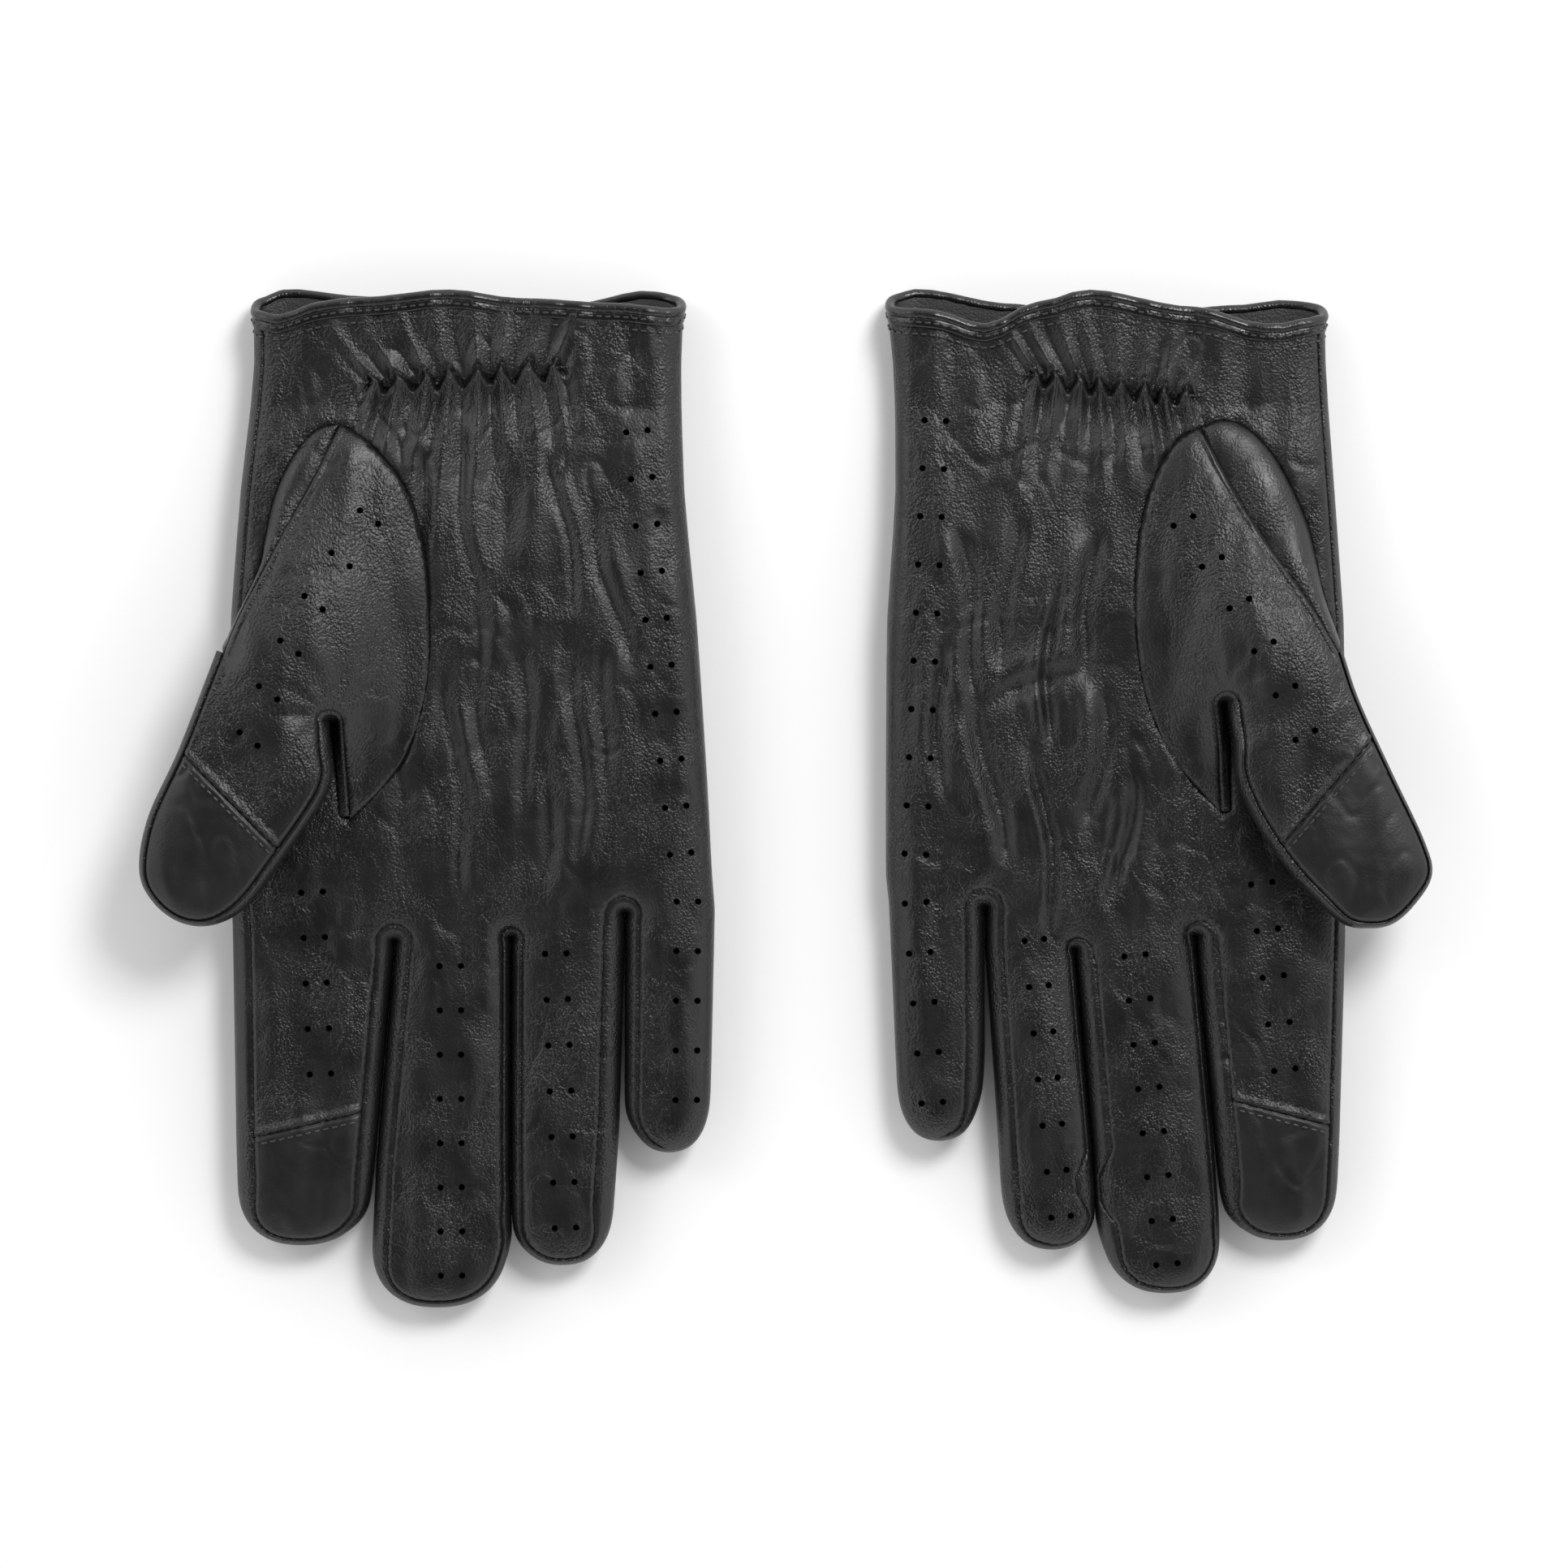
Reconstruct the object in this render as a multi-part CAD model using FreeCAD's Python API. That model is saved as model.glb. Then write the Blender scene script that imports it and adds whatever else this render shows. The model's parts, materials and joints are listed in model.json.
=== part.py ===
import FreeCAD, Part
import math
import os

# Pair of unlined leather driving gloves, lying palm up side by side. Units are millimetres.
# +X runs across the pair, +Y from the fingertips to the cuffs, +Z up from the surface they lie on.
# Each glove is drawn in its own frame with the thumb at -x, and the left-hand glove is mirrored into
# place. A glove is an assembly of thin leather sheets: each sheet is a patch of a closed tube, given
# by a range of angles round the tube and a range of stations along it.

LEATHER = 0.9             # thickness of the shell leather
FACING = 0.7              # thickness of the leather band inside the cuff
SEAM_GAP = 0.15           # clearance between two sheets that are sewn together
JOINT_GAP = 0.3           # clearance between the sheets either side of a bending line
BINDING_GAP = 1.3         # clearance between the shell's edge and the binding, measured along y
FACING_GAP = 0.6          # clearance between the shell and the band inside the cuff
HAND_SEAM_TURN = 0.6      # clearance between two sheets of the hand tube, in degrees round it
FINGER_SEAM_TURN = 0.7    # the same for the finger tubes
BAND_SEAM_TURN = 0.5      # the same either side of the seam that closes the bands at the cuff
EDGE_SEAM_TURN = 8.0      # angle round the tube of the seam along the little-finger edge
PAIR_OFFSET = 75.0        # centre of each cuff from the middle of the pair

HAND_SQUARENESS = 4.0     # exponent of the flattened hand tube
FINGER_SQUARENESS = 2.6   # exponent of the rounder finger tubes
HAND_HALF_WIDTH = 54.0    # typical size of the hand tube, for spacing points evenly round it
HAND_HALF_HEIGHT = 7.5
SOLE_CUT = 0.25           # how much the back of the hand is pressed flat by lying on it
HAND_START = -36.0        # the hand's sheets begin at this y, and are cut back round the fingers
CUFF_Y = 118.0            # typical y of the cuff
HAND_HEIGHTS = [(-35, 14.0), (0, 15.0), (40, 16.0), (75, 15.0), (97, 13.0), (120, 13.5)]

FINGER_HEIGHT = 13.4
FINGERTIP_HEIGHT = 11.6
FINGER_CAP = 15.0         # length of the rounded end of a finger
TIP_HOLE = 2.2            # half width left open where the tip seams meet
STATION_SPACING = 5.0
SAME_WAY = 1              # both rims of a sheet run the same way round
ROOT_MARGIN = 1.2         # clearance of the hand's edge round each finger root
SLIT_WIDTH = 0.9          # slit between fingers above their root lines
ROOM_LENGTH = 40.0        # length of the boxes that clear the fingers' side of their root lines
SIDE_STRIP = 4.2          # width of the side strips seen from the palm side
EDGE_SEAM = 2.5           # the back leather laps this far round the thumb-side edge

THUMB_LIFT = 16.3         # height of the underside of the thumb, clear of the palm under it
THUMB_HEIGHT = 11.5
THUMB_MOUTH = 14.0        # half width of the opening in the keystone that the thumb grows from
THUMB_HALF_WIDTH = 16.0
THUMB_TIP_HALF_WIDTH = 14.2
THUMB_SHIFT = 3.0         # the thumb leans this far towards the index finger at its root
THUMB_TIP_SHIFT = 1.3
THUMB_BEND = 30.0         # from the thumb's root line to its bending line
THUMB_MOUND = 60.0        # length over which the palm rises to the thumb
KEYSTONE_X = (-54.0, -4.0)  # span of the sheet that the keystone is cut from
KEYSTONE_Y = (-9.0, 91.0)
ARCH_SPREAD = 1.1         # width of the keystone's arch over the width of the thumb's opening

BINDING_WIDTH = 2.4
BINDING_SWELL = 0.5       # how far the rolled strip stands proud of the shell on each side
FACING_DEPTH = 9.0
ELASTIC_Y = 98.5
ELASTIC_HALF_LENGTH = 22.0
ELASTIC_WIDTH = 6.0
ELASTIC_THICKNESS = 0.8
ELASTIC_GAP = 0.6         # clearance between the elastic and the underside of the palm

PALM_COLUMNS = 41         # numbers of points across and along the sheets of the hand
BACK_COLUMNS = 71
HAND_ROWS = 20
BAND_COLUMNS = 61
BAND_ROWS = 4
KEYSTONE_COLUMNS = 13
KEYSTONE_ROWS = 17
BELOW = -5.0              # cutting shapes reach from below the object to above it
ABOVE = 45.0
SPAN = 300.0

# Per glove: hand edges as (y, thumb-side x, little-finger-side x); cuff edges as (x, y);
# the keystone outline as (x, y) from the thumb-side edge round the lobe to the web;
# fingers as root centre, root half width, end centre, end half width, tip y, bend distance.
RIGHT = {
    "name": "right",
    "side": -1,
    "edges": [(-35, -55.4, 58.4), (6, -55.4, 56.3), (41, -55.4, 54.0), (71, -53.2, 51.0),
              (97, -50.2, 50.2), (120, -49.6, 50.8)],
    "palm_cuff": [(-49.4, 117.8), (-43, 115.2), (-24, 117.2), (-4, 119.0), (13, 117.0), (36, 115.8), (50.4, 118.4)],
    "back_cuff": [(-49.4, 117.8), (-43, 120.0), (-24, 118.2), (-4, 116.2), (25, 116.5), (42, 119.6), (50.4, 118.4)],
    "keystone": [(-56.0, 36.0), (-47.5, 54.0), (-44.0, 72.0), (-31.8, 87.6), (-18.0, 78.0), (-10.0, 60.0),
                 (-8.4, 34.0), (-13.4, 10.8), (-27.6, -5.8)],
    "thumb_root": (-43.5, 27.5),
    "thumb_turn": 25.8,
    "thumb_length": 61.5,
    "crotches": [(-16.65, -28.5), (10.4, -29.2), (37.2, -22.6)],
    "fingers": {
        "index": {"root": (-36.0, -31.5), "root_half": 19.0, "end": (-38.3, -90), "end_half": 15.5,
                  "tip": -105.4, "bend": 44.8},
        "middle": {"root": (-3.1, -31.5), "root_half": 13.2, "end": (-6.1, -100), "end_half": 15.9,
                   "tip": -120.0, "bend": 48.0},
        "ring": {"root": (23.8, -31.5), "root_half": 13.1, "end": (22.7, -95), "end_half": 11.8,
                 "tip": -110.2, "bend": 44.0},
        "little": {"root": (47.9, -25.0), "root_half": 10.4, "end": (47.6, -70), "end_half": 9.7,
                   "tip": -83.8, "bend": 32.0},
    },
}
LEFT = {
    "name": "left",
    "side": 1,
    "edges": [(-35, -56.5, 51.5), (6, -56.4, 51.5), (41, -55.9, 51.3), (71, -53.8, 49.2),
              (97, -52.0, 49.4), (120, -51.2, 51.5)],
    "palm_cuff": [(-50.8, 116.6), (-37, 111.0), (-20, 115.0), (4.4, 119.0), (16, 116.2), (28.7, 111.0), (51.0, 118.6)],
    "back_cuff": [(-50.8, 116.6), (-42, 117.4), (-32, 116.2), (0, 113.0), (22, 116.5), (44, 120.0), (51.0, 118.6)],
    "keystone": [(-56.5, 37.0), (-49.0, 55.0), (-44.0, 70.0), (-27.4, 88.0), (-13.0, 78.5), (-7.5, 60.0),
                 (-6.5, 42.0), (-12.4, 15.0), (-27.4, -3.7)],
    "thumb_root": (-41.4, 28.0),
    "thumb_turn": 25.2,
    "thumb_length": 63.0,
    "crotches": [(-20.9, -27.8), (7.5, -31.6), (28.4, -20.6)],
    "fingers": {
        "index": {"root": (-38.8, -32.6), "root_half": 17.5, "end": (-40.8, -89), "end_half": 13.7,
                  "tip": -104.3, "bend": 42.0},
        "middle": {"root": (-6.7, -34.0), "root_half": 13.8, "end": (-12.5, -98), "end_half": 13.9,
                   "tip": -116.7, "bend": 45.0},
        "ring": {"root": (17.9, -34.0), "root_half": 10.0, "end": (13.6, -92), "end_half": 10.9,
                 "tip": -106.6, "bend": 41.0},
        "little": {"root": (39.9, -24.0), "root_half": 11.0, "end": (39.2, -68), "end_half": 9.8,
                   "tip": -81.1, "bend": 31.0},
    },
}


def between(table, at, column=1):
    """Value of a table at a position, with straight runs between its rows."""
    if at <= table[0][0]:
        return table[0][column]
    for low, high in zip(table, table[1:]):
        if at <= high[0]:
            share = (at - low[0]) / (high[0] - low[0])
            return low[column] + share * (high[column] - low[column])
    return table[-1][column]


def eased(table, at):
    """Value of a table at a position, with level, eased runs between its rows."""
    if at <= table[0][0]:
        return table[0][1]
    for low, high in zip(table, table[1:]):
        if at <= high[0]:
            share = (at - low[0]) / (high[0] - low[0])
            share = share * share * (3 - 2 * share)
            return low[1] + share * (high[1] - low[1])
    return table[-1][1]


def section(angle, half_width, half_height, squareness):
    """Point of a flattened tube's section at a polar angle in degrees, about the section's centre."""
    across = math.cos(math.radians(angle))
    up = math.sin(math.radians(angle))
    radius = (abs(across) ** squareness + abs(up) ** squareness) ** (-1.0 / squareness)
    return half_width * radius * across, half_height * radius * up


def seam_angle(inset, half_width, squareness):
    """Polar angle of the point that lies inset from the side of the section, on the palm side."""
    across = (half_width - inset) / half_width
    up = (1.0 - across ** squareness) ** (1.0 / squareness)
    return math.degrees(math.atan2(up, across))


def steps(low, high, count):
    return [low + (high - low) * i / (count - 1) for i in range(count)]


def even_angles(low, high, count, half_width, half_height, squareness):
    """Polar angles that divide a stretch of the section into steps of equal length."""
    angles = steps(low, high, 40 * count)
    points = [section(angle, half_width, half_height, squareness) for angle in angles]
    travel = [0.0]
    for one, other in zip(points, points[1:]):
        travel.append(travel[-1] + math.dist(one, other))
    table = list(zip(travel, angles))
    return [between(table, share * travel[-1]) for share in steps(0, 1, count)]


def sheet(outer, inner):
    """Closed thin solid between two grids of points."""
    faces = []
    surfaces = []
    for grid in (outer, inner):
        surface = Part.BSplineSurface()
        surface.interpolate(grid)
        surfaces.append(surface)
        faces.append(surface.toShape())
    first, second = surfaces
    u_low, u_high, v_low, v_high = first.bounds()
    s_low, s_high, t_low, t_high = second.bounds()
    rims = [(first.uIso(u_low), second.uIso(s_low)), (first.uIso(u_high), second.uIso(s_high)),
            (first.vIso(v_low), second.vIso(t_low)), (first.vIso(v_high), second.vIso(t_high))]
    for one, other in rims:
        faces.append(Part.makeRuledSurface(one.toShape(), other.toShape(), SAME_WAY))
    shell = Part.makeShell(faces)
    shell.sewShape()
    solid = Part.makeSolid(Part.Shell(shell.Faces))
    if solid.Volume < 0:
        solid.reverse()
    return solid


# Hand -----------------------------------------------------------------------------------------

def hand_section(glove, y, inset):
    """Centre x, half width, centre z and half height of the hand tube at y, shrunk by inset."""
    low = between(glove["edges"], y, 1)
    high = between(glove["edges"], y, 2)
    height = eased(HAND_HEIGHTS, y)
    return (low + high) / 2, (high - low) / 2 - inset, height / 2 - SOLE_CUT, height / 2 - inset


def hand_point(glove, angle, share, inset, start, cut_back, cuff):
    """Point of the hand tube: share runs from the line y = start to the cuff edge less cut_back."""
    centre, half_width, centre_z, half_height = hand_section(glove, CUFF_Y, inset)
    across, up = section(angle, half_width, half_height, HAND_SQUARENESS)
    end = eased(cuff, centre + across) - cut_back
    y = start + share * (end - start)
    centre, half_width, centre_z, half_height = hand_section(glove, y, inset)
    across, up = section(angle, half_width, half_height, HAND_SQUARENESS)
    return FreeCAD.Vector(centre + across, y, centre_z + up)


def hand_angles(low, high, count):
    return even_angles(low, high, count, HAND_HALF_WIDTH, HAND_HALF_HEIGHT, HAND_SQUARENESS)


def hand_sheet(glove, angles, cuff):
    """Sheet of the shell from the roots of the fingers to the binding at the cuff."""
    cut_back = BINDING_WIDTH + BINDING_GAP
    grids = []
    for depth in (0, LEATHER):
        grids.append([[hand_point(glove, angle, share, depth, HAND_START, cut_back, cuff) for angle in angles]
                      for share in steps(0, 1, HAND_ROWS)])
    return sheet(grids[0], grids[1])


def around_cuff(glove, angle):
    """The cuff edge that holds a given angle round the tube: palm side above, back side below."""
    return glove["palm_cuff"] if angle % 360 < 180 else glove["back_cuff"]


def prism(points, low, high, curved):
    """Vertical prism whose outline is a curve through the first points and lines through the rest."""
    vectors = [FreeCAD.Vector(x, y, low) for x, y in points]
    curve = Part.BSplineCurve()
    curve.interpolate(vectors[:curved])
    edges = [curve.toShape()]
    corners = vectors[curved - 1:] + [vectors[0]]
    for one, other in zip(corners, corners[1:]):
        edges.append(Part.makeLine(one, other))
    return Part.Face(Part.Wire(edges)).extrude(FreeCAD.Vector(0, 0, high - low))


def thumb_frame(glove):
    """Root centre, direction along the thumb and direction across it towards the index finger."""
    turn = math.radians(glove["thumb_turn"])
    along = FreeCAD.Vector(-math.sin(turn), -math.cos(turn), 0)
    across = FreeCAD.Vector(math.cos(turn), -math.sin(turn), 0)
    return FreeCAD.Vector(glove["thumb_root"][0], glove["thumb_root"][1], 0), along, across


def keystone_prism(glove, margin, low=BELOW):
    """Prism over the keystone lobe, from its outline to the thumb's root line; margin shrinks it."""
    root, along, across = thumb_frame(glove)
    outline = glove["keystone"]
    middle_x = sum(x for x, y in outline) / len(outline)
    middle_y = sum(y for x, y in outline) / len(outline)
    points = []
    for x, y in outline:
        reach = math.hypot(x - middle_x, y - middle_y)
        keep = (reach - margin) / reach
        points.append((middle_x + (x - middle_x) * keep, middle_y + (y - middle_y) * keep))
    inner = root + across * THUMB_MOUTH - along * JOINT_GAP
    outer = root - across * (THUMB_MOUTH + 1) - along * JOINT_GAP
    points.append((inner.x + margin, inner.y))
    points.append((outer.x, outer.y))
    return prism(points, low, ABOVE, len(outline))


def palm_height(glove, x, y):
    """Height of the palm's outer surface over a point of the hand."""
    centre, half_width, centre_z, half_height = hand_section(glove, y, 0)
    across = min(abs((x - centre) / half_width), 0.97)
    return centre_z + half_height * (1 - across ** HAND_SQUARENESS) ** (1 / HAND_SQUARENESS)


def keystone_point(glove, x, y, inset):
    """Point of the lobe, which rises from the palm to meet the top of the thumb tube."""
    root, along, across = thumb_frame(glove)
    place = FreeCAD.Vector(x, y, 0) - root
    back = min(max(-place.dot(along) / THUMB_MOUND, 0.0), 1.0)
    rise = 1 - back * back * (3 - 2 * back)
    off = min(abs(place.dot(across)) / (THUMB_MOUTH * ARCH_SPREAD), 1.0)
    arch = 0.5 * (1 + math.cos(math.pi * off))
    base = palm_height(glove, x, y)
    top = THUMB_LIFT + THUMB_HEIGHT
    return FreeCAD.Vector(x, y, base + rise * arch * (top - base) - inset)


def thumb_keystone(glove):
    xs = steps(*KEYSTONE_X, KEYSTONE_COLUMNS)
    ys = steps(*KEYSTONE_Y, KEYSTONE_ROWS)
    outer = [[keystone_point(glove, x, y, 0) for x in xs] for y in ys]
    inner = [[keystone_point(glove, x, y, LEATHER) for x in xs] for y in ys]
    return sheet(outer, inner).common(keystone_prism(glove, SEAM_GAP))


def finger_frame(finger):
    """Root centre, step along the finger for each millimetre of -Y, and its length measured in Y."""
    root = FreeCAD.Vector(finger["root"][0], finger["root"][1], 0)
    end = FreeCAD.Vector(finger["end"][0], finger["end"][1], 0)
    return root, (end - root) / (root.y - end.y), root.y - finger["tip"]


def finger_room(glove):
    """Everything beyond the finger root lines, and the slits up to the crotches between fingers."""
    shapes = []
    for finger in glove["fingers"].values():
        half = finger["root_half"] + ROOT_MARGIN
        corner = FreeCAD.Vector(finger["root"][0] - half, finger["root"][1] + JOINT_GAP - ROOM_LENGTH, BELOW)
        shapes.append(Part.makeBox(2 * half, ROOM_LENGTH, ABOVE - BELOW, corner))
    for x, y in glove["crotches"]:
        corner = FreeCAD.Vector(x - SLIT_WIDTH / 2, y - ROOM_LENGTH, BELOW)
        shapes.append(Part.makeBox(SLIT_WIDTH, ROOM_LENGTH, ABOVE - BELOW, corner))
    return shapes[0].multiFuse(shapes[1:])


def hand_parts(glove):
    _, palm_half, _, _ = hand_section(glove, 40, 0)
    edge = 180 - seam_angle(EDGE_SEAM, palm_half, HAND_SQUARENESS)
    room = finger_room(glove)
    palm_angles = hand_angles(EDGE_SEAM_TURN + HAND_SEAM_TURN, edge - HAND_SEAM_TURN, PALM_COLUMNS)
    back_angles = hand_angles(edge + HAND_SEAM_TURN, 360 + EDGE_SEAM_TURN - HAND_SEAM_TURN, BACK_COLUMNS)
    palm = hand_sheet(glove, palm_angles, glove["palm_cuff"])
    palm = palm.cut(room).cut(keystone_prism(glove, 0))
    back = hand_sheet(glove, back_angles, glove["back_cuff"])
    ground = Part.makeBox(SPAN, SPAN, -BELOW, FreeCAD.Vector(-SPAN / 2, -SPAN / 2, BELOW))
    back = back.cut(room).cut(ground).cut(keystone_prism(glove, 0, HAND_HALF_HEIGHT))
    return {"palm_panel": palm, "back_panel": back, "thumb_keystone": thumb_keystone(glove),
            "cuff_binding": cuff_binding(glove), "cuff_facing": cuff_facing(glove),
            "wrist_elastic": wrist_elastic(glove)}


def cuff_band(glove, inset, thickness, top, depth):
    """Band round the mouth of the glove, closed by one seam at the little-finger side."""
    angles = hand_angles(BAND_SEAM_TURN, 360 - BAND_SEAM_TURN, BAND_COLUMNS)
    bands = []
    for layer in (inset, inset + thickness):
        bands.append([[hand_point(glove, angle, 1, layer, HAND_START, cut_back, around_cuff(glove, angle))
                       for angle in angles] for cut_back in steps(top, top + depth, BAND_ROWS)])
    return sheet(bands[0], bands[1])


def cuff_binding(glove):
    """Strip rolled over the raw edges of the shell at the mouth."""
    return cuff_band(glove, -BINDING_SWELL, LEATHER + 2 * BINDING_SWELL, 0, BINDING_WIDTH)


def cuff_facing(glove):
    """Leather lining band inside the cuff, below the binding."""
    return cuff_band(glove, LEATHER + FACING_GAP, FACING, BINDING_WIDTH + SEAM_GAP, FACING_DEPTH)


def wrist_elastic(glove):
    """Flat elastic strip sewn to the inside of the palm at the wrist."""
    top = min(palm_height(glove, x, ELASTIC_Y) for x in (-ELASTIC_HALF_LENGTH, ELASTIC_HALF_LENGTH))
    top -= LEATHER + ELASTIC_GAP
    corner = FreeCAD.Vector(-ELASTIC_HALF_LENGTH, ELASTIC_Y - ELASTIC_WIDTH / 2, top - ELASTIC_THICKNESS)
    return Part.makeBox(2 * ELASTIC_HALF_LENGTH, ELASTIC_WIDTH, ELASTIC_THICKNESS, corner)


# Fingers --------------------------------------------------------------------------------------

def tube_point(tube, angle, station, inset):
    """Point of a finger or thumb tube at an angle round it and a distance from its root."""
    run = tube["length"] - FINGER_CAP
    share = min(station / run, 1.0)
    half = tube["root_half"] + share * (tube["end_half"] - tube["root_half"])
    height = tube["root_height"] + share * (tube["end_height"] - tube["root_height"])
    cap = max(station - run, 0.0) / (FINGER_CAP - 0.5 * inset)
    keep = (1 - min(cap, 0.999) ** 2.3) ** (1 / 2.3)
    half_width = (half - inset) * keep
    half_height = (height / 2 - inset) * keep
    across, up = section(angle, half_width, half_height, FINGER_SQUARENESS)
    place = tube["root"] + tube["along"] * station + tube["across"] * across
    return FreeCAD.Vector(place.x, place.y, tube["lift"] + height / 2 + up)


def tube_sheet(tube, angles, stations):
    grids = [[[tube_point(tube, angle, station, depth) for angle in angles] for station in stations]
             for depth in (0, LEATHER)]
    return sheet(grids[0], grids[1])


def tube_angles(low, high, count):
    return even_angles(low, high, count, THUMB_HALF_WIDTH, THUMB_HEIGHT / 2, FINGER_SQUARENESS)


def tube_stations(tube, start, end):
    """Evenly spaced stations from start to end, closer together round the tip."""
    run = tube["length"] - FINGER_CAP
    straight = min(end, run)
    count = 2 + int((straight - start) / STATION_SPACING)
    stations = steps(start, straight, count)
    if end > run:
        close = math.acos(TIP_HOLE / tube["end_half"])
        stations += [run + FINGER_CAP * math.sin(turn) for turn in steps(0, close, 6)[1:]]
    return stations


def tube_parts(tube, name, seams, strips, patch_name):
    """Front, back and side strips of a finger below and above its bending line.

    seams holds the two palm-side seam angles, little-finger side first. strips says which sides
    have a side strip. The tip's back leather takes in the ends of the side strips.
    """
    low, high = seams
    gap = FINGER_SEAM_TURN
    base = (JOINT_GAP, tube["bend"] - JOINT_GAP)
    tip = (tube["bend"] + JOINT_GAP, tube["length"])
    base_rows = tube_stations(tube, *base)
    tip_rows = tube_stations(tube, *tip)
    low_back = 360 - low if strips[0] else 360 + low
    high_back = 180 + high if strips[1] else 180 - high
    front = tube_angles(low + gap, 180 - high - gap, 11)
    tip_back = tube_angles(180 - high + gap, 360 + low - gap, 19)
    parts = {
        name + "_front": tube_sheet(tube, front, base_rows),
        name + "_back": tube_sheet(tube, tube_angles(high_back + gap, low_back - gap, 17), base_rows),
        patch_name: tube_sheet(tube, front, tip_rows),
        name + "_tip_back": tube_sheet(tube, tip_back, tip_rows),
    }
    walls = []
    if strips[0]:
        walls.append(tube_sheet(tube, tube_angles(-low + gap, low - gap, 7), base_rows))
    if strips[1]:
        walls.append(tube_sheet(tube, tube_angles(180 - high + gap, 180 + high - gap, 7), base_rows))
    if walls:
        parts[name + "_side_strips"] = Part.makeCompound(walls) if len(walls) > 1 else walls[0]
    return parts


def finger_parts(name, finger):
    root, along, length = finger_frame(finger)
    tube = {"root": root, "along": along, "across": FreeCAD.Vector(1, 0, 0), "length": length, "lift": 0.0,
            "root_half": finger["root_half"], "end_half": finger["end_half"],
            "root_height": FINGER_HEIGHT, "end_height": FINGERTIP_HEIGHT, "bend": finger["bend"]}
    strip = seam_angle(SIDE_STRIP, (finger["root_half"] + finger["end_half"]) / 2, FINGER_SQUARENESS)
    outside = seam_angle(EDGE_SEAM, finger["root_half"], FINGER_SQUARENESS)
    seams = [EDGE_SEAM_TURN if name == "little" else strip, outside if name == "index" else strip]
    strips = [name != "little", name != "index"]
    patch_name = "index_touch_patch" if name == "index" else name + "_tip_front"
    return tube_parts(tube, name, seams, strips, patch_name)


def thumb_parts(glove):
    root, along, across = thumb_frame(glove)
    lean = across * ((THUMB_TIP_SHIFT - THUMB_SHIFT) / glove["thumb_length"])
    tube = {"root": root + across * THUMB_SHIFT, "along": along + lean, "across": across,
            "length": glove["thumb_length"],
            "lift": THUMB_LIFT, "root_half": THUMB_HALF_WIDTH, "end_half": THUMB_TIP_HALF_WIDTH,
            "root_height": THUMB_HEIGHT, "end_height": THUMB_HEIGHT, "bend": THUMB_BEND}
    outside = seam_angle(EDGE_SEAM, THUMB_HALF_WIDTH, FINGER_SQUARENESS)
    return tube_parts(tube, "thumb", [EDGE_SEAM_TURN, outside], [False, False], "thumb_touch_patch")


# Assembly -------------------------------------------------------------------------------------

def placed(shape, side):
    """Shape moved from its glove's own frame into the pair's frame."""
    shape = shape.copy()
    if side > 0:
        shape = shape.mirror(FreeCAD.Vector(0, 0, 0), FreeCAD.Vector(1, 0, 0))
    shape.translate(FreeCAD.Vector(side * PAIR_OFFSET, 0, 0))
    return shape


os.makedirs("parts", exist_ok=True)
for glove in (RIGHT, LEFT):
    parts = hand_parts(glove)
    for name, finger in glove["fingers"].items():
        parts.update(finger_parts(name, finger))
    parts.update(thumb_parts(glove))
    for name, shape in parts.items():
        node = glove["name"] + "_" + name
        solid = placed(shape, glove["side"])
        if not solid.isValid() or not solid.Solids:
            print("invalid", node, solid.ShapeType)
        solid.exportStep("parts/" + node + ".step")
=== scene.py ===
import json
import math
import bpy
import numpy as np
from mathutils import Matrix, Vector, kdtree, noise
from mathutils.geometry import convex_hull_2d, delaunay_2d_cdt


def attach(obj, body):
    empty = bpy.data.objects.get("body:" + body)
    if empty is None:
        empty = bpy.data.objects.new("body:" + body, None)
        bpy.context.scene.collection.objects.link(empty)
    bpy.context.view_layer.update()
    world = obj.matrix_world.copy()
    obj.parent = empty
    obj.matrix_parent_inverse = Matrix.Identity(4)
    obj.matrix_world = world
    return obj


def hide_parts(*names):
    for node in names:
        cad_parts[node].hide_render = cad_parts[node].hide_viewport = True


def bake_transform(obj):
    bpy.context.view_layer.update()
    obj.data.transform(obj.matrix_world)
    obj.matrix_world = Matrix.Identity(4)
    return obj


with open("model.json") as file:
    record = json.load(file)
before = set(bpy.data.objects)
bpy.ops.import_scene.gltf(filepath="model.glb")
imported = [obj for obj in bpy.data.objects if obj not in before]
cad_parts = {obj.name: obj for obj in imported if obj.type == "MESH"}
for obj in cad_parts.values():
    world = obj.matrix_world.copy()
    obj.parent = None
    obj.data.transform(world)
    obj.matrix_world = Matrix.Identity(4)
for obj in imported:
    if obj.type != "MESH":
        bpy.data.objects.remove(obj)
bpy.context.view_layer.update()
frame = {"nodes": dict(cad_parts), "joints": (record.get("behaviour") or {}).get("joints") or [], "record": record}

# A pair of black leather driving gloves, lying palm up. Lengths are millimetres until a mesh is made.
# Each glove is built in its own frame with the thumb at -x, +y towards the cuff and +z up, and the
# left-hand glove is mirrored into place. The outlines, heights and hinges are measured on the packed
# CAD parts. The leather is made as flat plates cut to the outline of each panel and lifted to the
# height of the glove, and as bands that wrap round the edges between a palm-side seam and a
# back-side seam.

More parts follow.
